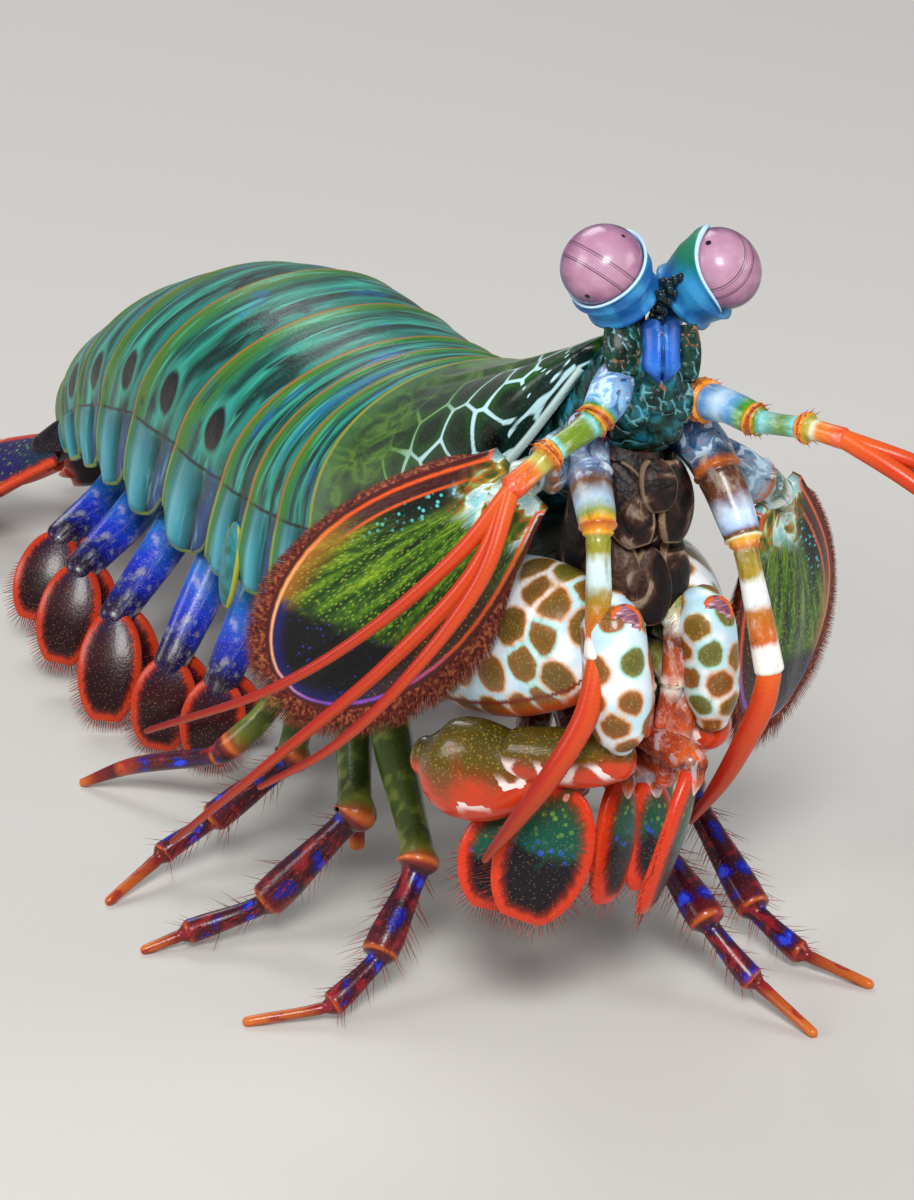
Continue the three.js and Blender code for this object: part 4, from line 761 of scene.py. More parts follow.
def make_somite(i):
    """One shell ring. Its front edge lies under the ring before it and its thick rear edge over the next."""
    name, lobe, lobe_at, lobe_half = SOMITES[i]
    front, back = TRUNK_KNOTS[i], TRUNK_KNOTS[i + 1]
    span = back - front
    inside = np.linspace(0.06, 0.9, 26)
    # Distance behind the front edge and height over the shell, from the hidden front lip to the thick rear one.
    profile = [(-0.4, -1.1), (-0.5, -0.8), (0.15, -0.6), (0.5, -0.3)]
    profile += [(u * span, 0.22 * u + 0.1 * math.sin(math.pi * u)) for u in inside if 0.7 < u * span]
    profile += [(span - 0.5, 0.3), (span, 0.42), (span + 0.4, 0.45), (span + 0.62, 0.38), (span + 0.72, 0.2),
                (span + 0.66, 0.0), (span + 0.3, -0.12), (span - 0.8, -0.6)]
    rings, arcs, downs, unders, hems, alongs, margins = [], [], [], [], [], [], []
    for run, proud in profile:
        u = float(np.clip(run / span, 0, 1))
        swell = math.sqrt(max(0.0, 1 - ((u - lobe_at) / lobe_half) ** 2))
        fold = 0.55 * math.exp(-((u - 0.4) / 0.05) ** 2) - 0.25 * math.exp(-((u - 0.68) / 0.16) ** 2)
        points, arc, down, under, hem, shoulder = arch_ring(front + run, lobe * swell, proud, fold)
        rings.append(points)
        arcs.append(arc)
        downs.append(down)
        unders.append(under)
        hems.append(hem)
        alongs.append(np.full(len(arc), run / span))
        margins.append(np.full(len(arc), abs(span + 0.5 - run)))
    arcs = vec(arcs)
    alongs = vec(alongs)
    spot = np.full(arcs.shape, FAR)
    if name in SPOTTED:
        reach = SPOT_AT * shoulder
        for sign in (-1, 1):
            aside = arcs - sign * reach
            a = aside / SPOT_ACROSS
            b = ((alongs - 0.5) * span + sign * aside * 0.3) / SPOT_ALONG
            spot = np.minimum(spot, np.sqrt(a**2 + b**2))
    form = Form().skin(rings, arc=arcs, down=vec(downs), under=vec(unders), hem=vec(hems), along=alongs,
                       margin=vec(margins), spot=spot, ring=float(i) * 7.3)
    form.make("plate_" + name, TERGITE, (name,), "body_shell")


def teardrop_paint():
    """Teal leaf with a yellow edge."""
    p = Paint("flank leaf")
    grained = p.group(GRAIN, Size=0.3, Mottle_size=2.5)
    colour = p.shade("0c5a50", "2c8a94", grained["Mottle"], 0.35, 0.65)
    colour = p.shade(colour, "a8a83c", p.value("rim"), 0.34, 0.2)
    return p.finish(colour, 0.34, p.bump(grained["Height"], 0.04), 0.2, 0.2)


def make_flank_leaves():
    """The small leaf that hangs behind the head shield on each flank."""
    paint = teardrop_paint()
    middle = trunk_at(56)[0]
    for sign, side in ((-1, "right"), (1, "left")):
        root, tip = (vec([middle + sign * (middle - x), y, z]) for x, y, z in ((0.9, 55.6, 31), (0.15, 58.6, 20.8)))
        leaf = Plate(root, tip, 1.8, 0.9, (sign, -0.12, 0.1), oval, 0.4, thin=0.3)
        Form().blade(leaf, 30, 20).make("flank_leaf_" + side, paint, (), "body_shell")


# Head shield and head

# Each row: y, then middle x, top z, half breadth, height of the dome, skirt, hollow below, lean, depth of the head.
SHIELD = [
    (-1, 15.6, 66.2, 4.2, 2.2, 0.8, 0.4, 0, 2), (1.5, 15.6, 65.5, 8.2, 7.4, 1.6, 4, 0.1, 6.5),
    (6, 15.7, 64, 11.6, 11, 3.2, 6, 0.2, 10), (14, 16, 61.2, 13.8, 13.6, 6.4, 7, 0.28, 11),
    (23, 16.3, 57.8, 15.2, 15, 8, 8, 0.28, 11.6), (31, 16.6, 54.8, 16, 15.8, 8.6, 8, 0.25, 10.6),
    (35.9, 16.8, 53.4, 16.2, 15.8, 7, 8, 0.21, 9.4),
]
SHIELD_KNOTS = vec([row[0] for row in SHIELD])
SHIELD_ROWS = vec([row[1:] for row in SHIELD])
SHIELD_END = 35.9
SHIELD_OVER = 129
SHIELD_SIDE = 20
INNER_HEM = 20.0


def shield_at(y):
    return hermite(SHIELD_KNOTS, SHIELD_ROWS, vec([y]))[0]


def make_carapace():
    """The head shield with two low ridges, a groove beside each, and cells laid over it for its net."""
    stations = [-1.0, -0.8, -0.4, 0.2, 0.9, 1.6, 2.5] + list(np.linspace(3.2, 35.0, 100)) + [35.5, SHIELD_END, 36.1]
    rings, arcs, alongs, hems, rears = [], [], [], [], []
    for y in stations:
        x, top, half, dome, skirt, hollow, lean = shield_at(min(y, SHIELD_END))[:7]
        over = dome_line(half, dome, SHIELD_OVER, 0.85)
        ridge = np.exp(-((np.abs(over[:, 0]) - half * 0.34) / 0.7) ** 2) * ease(y, 4, 9) * (1 - ease(y, 26, 34))
        groove = np.exp(-((np.abs(over[:, 0]) - half * 0.42) / 0.5) ** 2) * ease(y, 4, 9) * (1 - ease(y, 28, 35))
        over[:, 1] += (0.28 * ridge - 0.3 * groove) * (over[:, 1] > 0)
        reach = np.linspace(0, 1, SHIELD_SIDE + 1)[1:]
        side = np.stack([half * (1 - 0.03 * reach), -skirt * reach], 1)
        rim = vec([[half * 0.97 - 0.5, -skirt - 0.35], [half * 0.86, -skirt]])
        inner = vec([[half * 0.6, hollow * 0.6], [half * 0.3, hollow * 0.9]])
        right = np.concatenate([inner[::-1], rim[::-1], side[::-1]]) * [-1, 1]
        outline = np.concatenate([[[0, hollow]], right, over, side, rim, inner])
        arc = run_along(outline)
        arc -= arc[1 + len(right) + SHIELD_OVER // 2]
        rings.append(np.stack([x + outline[:, 0], y - outline[:, 1] * lean, top - dome + outline[:, 1]], 1))
        arcs.append(arc)
        alongs.append(np.full(len(arc), y))
        low_edge = np.where(np.abs(outline[:, 0]) > half * 0.8, outline[:, 1] + skirt, INNER_HEM)
        hems.append(np.maximum(0, low_edge))
        rears.append(np.full(len(arc), 36.1 - y))
    form = Form().skin(rings, arc=vec(arcs), along=vec(alongs), hem=vec(hems), rear=vec(rears))
    small = 0.62 + 0.38 * ease(np.vstack(form.points)[:, 1], -1, 9)
    form.cells(3.3, 4, small, (1, 0.8, 1)).make("head_shield", CARAPACE, ("carapace",), "shield_shell")


FACE_FACING = (-0.3, -0.88, 0.36)
FACE_PLATES = (
    ((12.9, -5.9, 68.9), (12.4, -7.9, 64.6), 1.7, FACE_GREEN),
    ((18.2, -8.4, 68.6), (18.0, -9.2, 63.9), 1.2, FACE_GREEN),
    ((15.1, -9.2, 64.3), (14.7, -9.7, 61.2), 1.75, HEAD),
    ((12.4, -7.6, 63.9), (13.4, -9.3, 60.4), 1.2, HEAD),
    ((17.5, -9.0, 63.6), (16.6, -10.0, 60.4), 1.2, HEAD),
)
GRAIN_COUNT = 40


def face_width(u):
    return 0.75 + 0.25 * math.sin(math.pi * u)


def heart_width(u):
    shoulder = min(1, 0.72 + 0.28 * math.sqrt(min(1, u / 0.16)))
    return shoulder * (1 - 0.12 * math.sin(math.pi * u)) * math.sqrt(max(0.05, 1 - (max(0, u - 0.8) / 0.205) ** 2))


def heart_groove(u, s):
    return -0.45 * np.exp(-(s / 0.1) ** 2) * ease(u, 0.2, 0.5) + 0.35 * np.cos(s * math.pi / 2)


def heart_lobes(u, s):
    """Draws the tip out into two lobes and the top down at its middle."""
    lobes = 1 - ((np.abs(s) - 0.5) / 0.5) ** 2
    return 0.75 * u**3 * lobes + 0.7 * (1 - u) ** 4 * np.exp(-(s / 0.3) ** 2)


def make_head():
    """The head below the shield, the plates of its face and the dark grains between its eye stalks, which stand
    partly for the small ocular scales there and partly for painted shade on the left stalk's shadowed side.
    """
    stations = np.concatenate([[1.7, 2.4], np.linspace(3.4, 34.0, 30), [35.2, 35.8]])
    rings = []
    for y in stations:
        x, top, half, dome, skirt, hollow, lean, depth = shield_at(y)
        c = 0.5
        outline = vec([
            [-half * 0.86 + c * 1.5, -skirt - c], [-half * 0.6 + c, hollow * 0.6 - c], [0, hollow - c],
            [half * 0.6 - c, hollow * 0.6 - c], [half * 0.86 - c * 1.5, -skirt - c], [half * 0.72, -depth * 0.84],
            [half * 0.34, -depth], [0, -depth * 1.0], [-half * 0.34, -depth], [-half * 0.72, -depth * 0.84]])
        loop = np.vstack([outline, outline[:1]])
        knots = run_along(loop)
        outline = resampled(np.linspace(0, knots[-1], 49)[:-1], knots, loop)
        rings.append(np.stack([x + outline[:, 0], y - outline[:, 1] * lean, top - dome + outline[:, 1]], 1))
    form = Form().skin(rings)
    form.tube([
        (15.6, -8.2, 65, 3.4, 0.62), (15.7, -6.8, 64, 4.6, 0.8), (15.8, -3.8, 61.4, 5.4, 0.82),
        (15.8, 0, 57.6, 5.6, 1), (15.8, 4, 53.4, 5.4, 1.2)], sides=40)
    form.tube([(15.7, -6, 61.8, 2.8, 0.9), (16, -7.9, 60.6, 2.6, 0.9), (16.2, -8.2, 58.8, 1.8, 0.9)], sides=28)
    form.cells(1.5, 9).make("head_core", HEAD, ("head",), "head_shell")

    heart = Plate((15.9, -7.9, 69.2), (14.95, -9.9, 64.9), 1.85, 1.6, FACE_FACING, heart_width, 0.3, heart_groove,
                  heart_lobes, thin=0.2)
    Form().blade(heart, 40, 40).make("heart_plate", HEART, (), "head_shell")
    for number, (root, tip, half, paint) in enumerate(FACE_PLATES):
        plate = Plate(root, tip, half, 1.0, FACE_FACING, face_width, 0.35, thin=0.3)
        Form().blade(plate, 20, 20).cells(0.95, 20 + number).make(f"face_plate_{number}", paint, (), "head_shell")
    # Dark grains between the eye stalks: partly the small ocular scales, partly painted shade standing for the left
    # stalk's shadowed side.
    beads = Form()
    draw = np.random.default_rng(6)
    for t in np.arange(GRAIN_COUNT) / (GRAIN_COUNT - 1):
        x = 15.9 + 1.4 * t + draw.normal(0, 0.35)
        y = -6.9 + draw.normal(0, 0.3)
        z = 69.0 + 3.4 * t + draw.normal(0, 0.25)
        r = 0.2 + 0.24 * draw.random()
        beads.tube([(x, y, z - 0.1, r), (x, y, z + 0.1, r)], 10, 0.1, ends=(1, 1))
    beads.make("eye_scales_and_shade", plain("eye scales and shade", "03070a", "0d2a30"), (), "head_shell")


# Eyes

BANDS = {
    "right": {"normal": -0.54 * TO_RIGHT - 0.84 * TO_TOP, "low": -0.24, "high": 1.2},
    "left": {"normal": 0.42 * TO_RIGHT - 0.45 * TO_TOP - 0.79 * TO_VIEWER, "low": -1.78, "high": -0.76},
}
PUPILS = {
    "right": ((1.8, 2.4, 0.24), (-0.2, 0.35, 0.2), (-0.65, -0.65, 0.16), (-1.35, -2.9, 0.24)),
    "left": ((-1.4, 2.0, 0.26), (-1.7, -2.2, 0.14)),
}
RIMS = {
    "right": {"towards": 0.7 * TO_RIGHT + 0.7 * TO_TOP, "rise": 0.6, "wave": 0.1},
    "left": {"towards": -0.8 * TO_RIGHT + 0.55 * TO_TOP, "rise": 1.75, "wave": 0.35},
}
CORNEAS = {side: cornea_paint(side, BANDS[side]["low"], BANDS[side]["high"]) for side in SIDES}
CUPS = {side: cup_paint(side) for side in SIDES}


def turned(axis, angle, lift, radius, centre):
    """Points round an axis at angle, lift along it and radius from it."""
    axis = unit(axis)
    first = unit(np.cross([0, 1, 0], axis)) if abs(axis[1]) < 0.9 else unit(np.cross([1, 0, 0], axis))
    second = np.cross(axis, first)
    return (vec(centre) + axis * np.asarray(lift)[..., None] + first * (radius * np.cos(angle))[..., None]
            + second * (radius * np.sin(angle))[..., None])


def make_eye(side):
    """A cornea with its bands and pupils, and the cup and stalk that hold it."""
    eye = EYES[side]
    axis = unit(eye["axis"])
    angle = 2 * np.pi * np.arange(128) / 128
    polar = np.linspace(0.02, np.pi - 0.02, 100)
    a, q = np.meshgrid(angle, polar)
    rings = turned(axis, a, -EYE_RADIUS * EYE_SQUASH * np.cos(q), EYE_RADIUS * np.sin(q), eye["centre"])
    local = rings - vec(eye["centre"])
    ahead = local @ TO_VIEWER
    # limb: distance from the middle of the cornea as seen from the camera, which drives its painted shade towards the
    # outline; the far side counts as outline.
    limb = np.clip(np.linalg.norm(local - ahead[..., None] * TO_VIEWER, axis=-1) / EYE_RADIUS, 0, 1) ** 2
    limb = np.where(ahead > 0, limb, 1.0)
    pupil = np.full(ahead.shape, FAR)
    for across, up, size in PUPILS[side]:
        depth = math.sqrt(max(0.1, EYE_RADIUS**2 - across**2 - up**2))
        spot = TO_RIGHT * across + TO_TOP * up + TO_VIEWER * depth
        pupil = np.minimum(pupil, np.linalg.norm(local - spot, axis=-1) - size)
    form = Form().skin(rings, band=local @ unit(BANDS[side]["normal"]), limb=limb, pupil=pupil)
    form.make("cornea_" + side, CORNEAS[side], ("eye_" + side,), "eye_cornea")
    length = 4.7
    base = length + 0.9
    foot = vec(eye["foot"])
    around = turned(axis, angle, np.zeros_like(angle), 1.0, (0, 0, 0))
    aim = around @ unit(RIMS[side]["towards"])
    lip_lift = -0.7 + RIMS[side]["rise"] * aim + RIMS[side]["wave"] * np.cos(3 * np.arccos(np.clip(aim, -1, 1)))
    profile = [(base + 0.2, 1.75, 0), (base - 0.3, 1.95, 0), (length + 0.15, 2.5, 0), (length + 0.12, 3.2, 0),
               (length - 0.1, 3.48, 0), (length - 0.45, 3.42, 0), (length - 0.7, 3.28, 0),
               (length * 0.72, 3.42, 0), (length * 0.55, 3.66, 0),
               (2.0, 3.9, 0.15), (1.5, 4.0, 0.4), (1.1, 4.05, 0.75), (0.85, 4.06, 0.93), (0.7, 4.08, 1.0),
               (0.55, 4.02, 1.04), (0.55, 3.86, 1.04), (1.0, 3.7, 1.0), (2.0, 3.2, 0.4)]
    rings = []
    for distance, radius, share in profile:
        lift = -distance + share * (lip_lift + 0.7)
        reach = radius * np.ones_like(angle)
        if share > 0.3:
            ball = EYE_RADIUS * np.sqrt(np.maximum(0.05, 1 - (lift / (EYE_RADIUS * EYE_SQUASH)) ** 2))
            reach = ball + (radius - EYE_RADIUS * 0.985)
        rings.append(turned(axis, angle, lift, reach, eye["centre"]))
    neck = rings[0].mean(axis=0)
    stalk = []
    for t in np.linspace(0, 0.92, 8):
        ring = rings[0] - neck
        stalk.append(ring * (1.0 - 0.1 * math.sin(math.pi * t)) + foot + (neck - foot) * t)
    rings = stalk + rings
    tall = len(rings)
    alongs = np.concatenate([np.linspace(0, 0.3, len(stalk)), np.linspace(0.35, 1, tall - len(stalk))])
    lips = np.zeros(tall)
    lips[-5:-2] = 1
    tops = np.array([ring[:, 2] - eye["centre"][2] for ring in rings])
    Form().skin(rings, along=alongs[:, None], lip=lips[:, None], height=tops).make(
        "eye_cup_" + side, CUPS[side], ("eye_stalk_" + side,), "eye_stalk")


# Bristles

def bristle_tree():
    """Grows one tapered blade on each point, along its way value and as long as its reach value."""
    tree = bpy.data.node_groups.new("bristles", "GeometryNodeTree")
    for key, way, kind in (("Geometry", "INPUT", "Geometry"), ("Width", "INPUT", "Float"),
                           ("Thickness", "INPUT", "Float"),
                           ("Material", "INPUT", "Material"), ("Geometry", "OUTPUT", "Geometry")):
        tree.interface.new_socket(key, in_out=way, socket_type="NodeSocket" + kind)
    p = Paint("bristles", tree)
    entry = p.add("NodeGroupInput").outputs

    def held(key, kind):
        return p.add("GeometryNodeInputNamedAttribute", {"Name": key}, data_type=kind).outputs["Attribute"]

    blade = p.add("GeometryNodeMeshCone", {"Vertices": 4, "Side Segments": 3, "Radius Top": 0.06,
                                           "Radius Bottom": 0.5, "Depth": 1.0}, fill_type="NGON")
    upright = p.add("FunctionNodeAlignRotationToVector", {"Vector": held("way", "FLOAT_VECTOR")}, axis="Z")
    turned_to = p.add("FunctionNodeAlignRotationToVector", {"Rotation": upright.outputs[0],
                                                            "Vector": held("facing", "FLOAT_VECTOR")},
                      axis="Y", pivot_axis="Z")
    roots = p.add("GeometryNodeMeshToPoints", {0: entry["Geometry"]})
    blades = p.add("GeometryNodeInstanceOnPoints", {
        "Points": roots.outputs[0], "Instance": blade.outputs["Mesh"], "Rotation": turned_to.outputs[0],
        "Scale": p.join(entry["Width"], entry["Thickness"], held("reach", "FLOAT"))})
    solid = p.add("GeometryNodeRealizeInstances", {0: blades.outputs[0]})
    painted = p.add("GeometryNodeSetMaterial", {"Geometry": solid.outputs[0], "Material": entry["Material"]})
    p.add("NodeGroupOutput", {0: painted.outputs[0]})
    return tree


BRISTLES = bristle_tree()


def grow(name, roots, ways, facings, reaches, material, width, thick):
    """A piece of bristles, one on each root."""
    mesh = bpy.data.meshes.new(name + "_roots")
    mesh.from_pydata(((vec(roots) + SHIFT) * MM).tolist(), [], [])
    for key, rows in (("way", ways), ("facing", facings)):
        mesh.attributes.new(key, "FLOAT_VECTOR", "POINT").data.foreach_set("vector", vec(rows).ravel())
    mesh.attributes.new("reach", "FLOAT", "POINT").data.foreach_set("value", vec(reaches) * MM)
    seed_bed = placed(name + "_roots", mesh)
    modifier = seed_bed.modifiers.new("bristles", "NODES")
    modifier.node_group = BRISTLES
    sizes = {"Width": width * MM, "Thickness": thick * MM, "Material": material}
    for item in BRISTLES.interface.items_tree:
        if item.in_out == "INPUT" and item.name in sizes:
            modifier[item.identifier] = sizes[item.name]
    grown = bpy.data.meshes.new_from_object(seed_bed.evaluated_get(bpy.context.evaluated_depsgraph_get()))
    grown.name = name
    bpy.data.objects.remove(seed_bed)
    if not grown.materials:
        grown.materials.append(material)
    return settle(placed(name, grown), ())


def above_floor(root, way, reach, clear, least):
    """A bristle's length, cut where it would pass within clear of the floor."""
    if way[2] >= 0:
        return reach
    return min(reach, max(least, (root[2] - clear) / max(0.05, -way[2])))


def grow_fringes(name, plates, reach, pitch, first, spread, clear, width, thick):
    """One piece of red bristles round the edges of some plates, each with its own seed."""
    bed = [[], [], [], []]
    for plate, seed in plates:
        for held, new in zip(bed, plate.fringe(pitch, reach, first, 0.4, spread, 0.2, 1, seed)):
            held += new
    roots, ways, facings, lengths = bed
    lengths = [above_floor(root, way, length, clear, 0.25) for root, way, length in zip(roots, ways, lengths)]
    grow(name, roots, ways, facings, lengths, SETA, width, thick)


# Feelers

def ringed(places, height=0.3, breadth=0.3, groove=0.0):
    """Collars round a limb at the given marks."""
    def relief(run, run_at):
        rise = np.zeros_like(run)
        for place in places:
            start = float(run_at(place))
            rise += height * np.exp(-((run - start) / breadth) ** 2)
            rise -= groove * np.exp(-((run - start - breadth * 1.7) / (breadth * 0.7)) ** 2)
        return rise
    return relief


def banded_paint(name, stops, wobble, marble=0.0, marble_to=1.0):
    """A limb whose colours change from joint to joint, with fine streaks and, up to one mark, pale marbling."""
    p = Paint(name)
    grained = p.group(GRAIN, Size=0.3, Mottle_size=1.4)
    mark = p.value("mark")
    streak = p.noise(p.join(p.times(p.value("turn"), 9.0), p.times(p.value("run"), 0.5)), 1.0, 3.0)
    shift = p.times(p.minus(p.plus(grained["Mottle"], streak), 1.0), wobble * 2)
    colour = p.scale(p.plus(mark, shift), stops)
    colour = p.shade(colour, "f4f0dc", streak, 0.5, 0.7, 0.25)
    colour = p.shade(colour, "2a1c10", streak, 0.46, 0.3, 0.35)
    if marble:
        swirl = p.noise(p.place(), 420.0, 2.5, 1.8)
        here = p.ramp(mark, marble_to, marble_to - 0.04)
        colour = p.mix(p.times(here, p.ramp(swirl, 0.54, 0.62, 0.0, marble)), colour, "d4e8f8")
        colour = p.mix(p.times(here, p.ramp(swirl, 0.44, 0.36, 0.0, marble)), colour, "0e2448")
        colour = p.mix(p.times(here, p.bell(swirl, 0.5, 0.012)), colour, "b8642c")
    colour = p.mix(p.times(grained["Fleck"], 0.2), colour, "f4ead0")
    return p.finish(colour, 0.32, p.bump(p.plus(grained["Height"], streak), 0.03), 0.3, 0.15)


ANTENNULES = {
    "right": {
        "stem": [
            (14, -4.6, 63.4, 1.9), (12.2, -6.6, 63.4, 2), (10.5, -8.2, 62.6, 1.85), (9.2, -9, 61.6, 1.5),
            (8.8, -9.2, 61.3, 1.3), (4.3, -10.1, 59.5, 1.15), (3.8, -10.2, 59.2, 1.35), (3.3, -10.3, 58.9, 1.1),
            (0.3, -10.6, 57, 1.15)],
        "whips": [
            [
                (0.3, -10.6, 57, 0.8), (-4, -9.6, 51.6, 0.7), (-10.8, -5, 43.6, 0.55), (-17.4, 1, 37, 0.45),
                (-25.4, 12.6, 29.6, 0.28)],
            [
                (0.3, -10.6, 57, 0.85), (-3.2, -11, 50.4, 0.8), (-9.6, -8.4, 42.4, 0.65), (-17.2, -1, 31.8, 0.5),
                (-24, 10.6, 19, 0.3)],
            [
                (0.3, -10.6, 57, 0.8), (-3.4, -12.4, 50, 0.7), (-10, -10.4, 40.6, 0.55), (-14.6, -5, 33, 0.45),
                (-19, 1, 27.6, 0.28)]],
    },
    "left": {
        "stem": [
            (17.4, -4.4, 62.4, 1.8), (19.2, -6.8, 61.6, 1.8), (19.9, -9, 61.6, 1.75), (20.4, -12.3, 62, 1.5),
            (21.2, -15, 61.7, 1.4), (21.5, -15.8, 61.6, 1.1), (23.1, -20.2, 62.2, 1), (23.4, -20.9, 62.3, 1.2),
            (23.7, -21.6, 62.3, 0.95), (24.9, -24.2, 62.2, 0.95)],
        "whips": [
            [
                (24.9, -24.2, 62.2, 0.8), (29.2, -28, 60.8, 0.7), (37.4, -31.5, 57, 0.55), (46, -31.5, 51, 0.42),
                (55, -27, 44, 0.26)],
            [
                (24.9, -24.2, 62.2, 0.85), (28.4, -29, 59.6, 0.8), (34, -35, 54.4, 0.6), (41, -39, 46.6, 0.45),
                (48.6, -40.6, 38, 0.28)],
            [
                (24.9, -24.2, 62.2, 0.8), (29.6, -26.6, 59.2, 0.7), (37, -27.4, 52, 0.55), (43, -24.4, 45, 0.42),
                (47.4, -18.6, 39, 0.26)]],
    },
}
ANTENNAE = {
    "right": {
        "stem": [
            (11.8, -2.4, 58, 2.2), (10.2, -4.9, 57, 2.2), (9.2, -8, 55.2, 1.9), (8.2, -11.4, 52.6, 1.6),
            (8, -11.9, 51.8, 1.2), (7.3, -13.6, 46, 1.2), (6.9, -14.5, 41.8, 1.3)],
        "whip": [
            (6.9, -14.6, 41.6, 1.05), (5.2, -15.6, 36.8, 1.1), (2.2, -15, 31.4, 1), (0, -12.8, 26.6, 0.8),
            (-1.9, -10.2, 21.9, 0.35)],
    },
    "left": {
        "stem": [
            (19, -3.4, 58.4, 2.3), (20.8, -6.4, 57, 2.3), (21.3, -9.9, 54.2, 2), (21.7, -13.2, 50, 1.6),
            (21.7, -13.7, 49.2, 1.2), (22.1, -15.6, 44, 1.2), (22.6, -17.1, 38.6, 1.35)],
        "whip": [
            (22.6, -17.2, 38.3, 1.1), (21.9, -17.4, 35.6, 1.15), (20.8, -16.3, 31.6, 1.05), (20, -13.8, 26.8, 0.85),
            (19.1, -10, 21.4, 0.35)],
    },
}
STEM_PAINT = {
    "right": banded_paint("antennule stem right", [
        (0.0, "2c5c9c"), (0.25, "7ab4e4"), (0.31, "5aa4dc"), (0.335, "3f8f26"), (0.37, "ea981c"), (0.45, "8f3010"),
        (0.512, "ea981c"), (0.525, "6a8a1c"), (0.54, "84d4dc"), (0.555, "64861a"), (0.578, "708a1c"),
        (0.594, "8adce0"), (0.606, "9a9a24"), (0.62, "ea901c"), (0.67, "a8401a"), (0.75, "ea861c"), (0.8, "c8761c"),
        (0.875, "a8902a"), (0.92, "b8b45a"), (0.95, "dc701c"), (1.0, "e0481a")], 0.004, 0.8, 0.33),
    "left": banded_paint("antennule stem left", [
        (0.0, "2a5ca0"), (0.12, "7ab0e0"), (0.165, "5a90c8"), (0.185, "e08a1c"), (0.215, "8a3a1c"),
        (0.245, "e8921c"), (0.27, "5a9cdc"), (0.33, "b8d8ec"), (0.37, "5a98cc"), (0.41, "3f8f26"), (0.44, "5f8f1c"),
        (0.47, "ea981c"), (0.51, "8f3010"), (0.556, "ea981c"), (0.57, "64861a"), (0.588, "84d4dc"),
        (0.617, "64861a"), (0.651, "8adce0"), (0.668, "9a9a24"), (0.69, "ea901c"), (0.73, "a8401a"),
        (0.785, "ea861c"), (0.82, "929a20"), (0.87, "b8a040"), (0.9, "d4dcc0"), (0.93, "dc801c"),
        (1.0, "e0481a")], 0.006, 0.8, 0.17),
}
ANTENNA_PAINT = {
    "right": banded_paint("antenna stem right", [
        (0.0, "16263c"), (0.17, "34548a"), (0.25, "98b4d8"), (0.31, "6a86b0"), (0.36, "6f4420"), (0.41, "a8c4dc"),
        (0.45, "8a9a3c"), (0.49, "eaa41c"), (0.53, "b85014"), (0.64, "eaa41c"), (0.68, "8f922a"), (0.74, "98902a"),
        (0.765, "d4ecec"), (0.79, "c8e4e0"), (0.81, "9a8224"), (0.88, "c86c18"), (0.93, "c86014"), (0.955, "f4f0e8"),
        (1.0, "f6f2ec")], 0.012, 0.7, 0.36),
    "left": banded_paint("antenna stem left", [
        (0.0, "12304e"), (0.14, "24507a"), (0.22, "5a8ab0"), (0.27, "24405c"), (0.295, "c8641c"), (0.32, "4c2c1c"),
        (0.37, "643820"), (0.41, "c4d8f4"), (0.45, "a8c0e8"), (0.475, "643c20"), (0.5, "745424"), (0.53, "e4e8c8"),
        (0.56, "eab43a"), (0.67, "d8701a"), (0.7, "867628"), (0.77, "a88c2c"), (0.79, "e8f0ea"), (0.82, "e4ecec"),
        (0.84, "b87020"), (0.92, "c8601c"), (0.94, "f4f0e8"), (1.0, "f6f2ec")], 0.012, 0.7, 0.28),
}


def feeler_paint():
    """Orange at the root to deep red at the tip, with fine rings and a painted highlight along its upper side."""
    p = Paint("feelers")
    ring = p.math("PINGPONG", p.value("run"), 0.22)
    colour = p.scale(p.value("along"), [(0.0, "d65a16"), (0.12, "c83a12"), (0.55, "a82010"), (1.0, "7a1412")])
    # Painted highlight: a lighter stripe along the upper side of each feeler.
    colour = p.shade(colour, "e06a2a", p.bell(p.value("turn"), 0.25, 0.2), 0.0, 1.0, 0.25)
    colour = p.shade(colour, "6e160e", ring, 0.05, 0.01, 0.15)
    return p.finish(colour, 0.36, p.bump(p.ramp(ring, 0.0, 0.1), 0.006), 0.2, 0.2)


FEELER = feeler_paint()
COLLARS = {"right": (0.4, 0.512, 0.62, 0.74), "left": (0.195, 0.235, 0.48, 0.56, 0.69, 0.77)}
SPINE = plain("collar spines", "c8501c", "8a2a14")


def make_feelers(side):
    """An antennule with its spiny collars and three feelers, and an antenna with one."""
    spec = ANTENNULES[side]
    Form().tube(spec["stem"], 44, 0.1, relief=ringed(COLLARS[side], 0.26, 0.2, 0.1)).make(
        "antennule_stem_" + side, STEM_PAINT[side], ("antennule_" + side,), "antenna_stem")
    line, _ = curve([list(row) + [i / (len(spec["stem"]) - 1)] for i, row in enumerate(spec["stem"])], 400)
    heading, across, over = frames(line[:, :3], (1, 0, 0))
    roots, ways, facings, lengths = [], [], [], []
    draw = np.random.default_rng(12)
    for mark in COLLARS[side]:
        at = int(np.argmin(np.abs(line[:, 4] - mark)))
        for turn in np.arange(0, 2 * math.pi, 0.62):
            side_way = across[at] * math.cos(turn) + over[at] * math.sin(turn)
            roots.append(line[at, :3] + side_way * line[at, 3] * 1.05)
            ways.append(unit(side_way + heading[at] * 1.1))
            facings.append(side_way)
            lengths.append(0.45 + 0.5 * draw.random())
    grow("antennule_spines_" + side, roots, ways, facings, lengths, SPINE, 0.16, 0.14)
    whips = Form()
    for rows in spec["whips"]:
        whips.tube(rows, 18, 0.3, ends=(0.5, 1.0))
    whips.make("antennule_feelers_" + side, FEELER, ("antennule_whips_" + side,), "flagellum")
    spec = ANTENNAE[side]
    Form().tube(spec["stem"], 44, 0.15, relief=ringed((0.3, 0.53, 0.64), 0.2, 0.22, 0.12)).make(
        "antenna_stem_" + side, ANTENNA_PAINT[side], ("antenna_" + side,), "antenna_stem")
    Form().tube(spec["whip"], 24, 0.25, ends=(0.5, 1.5)).make(
        "antenna_feeler_" + side, FEELER, ("antenna_whip_" + side,), "flagellum")


# Antennal scales

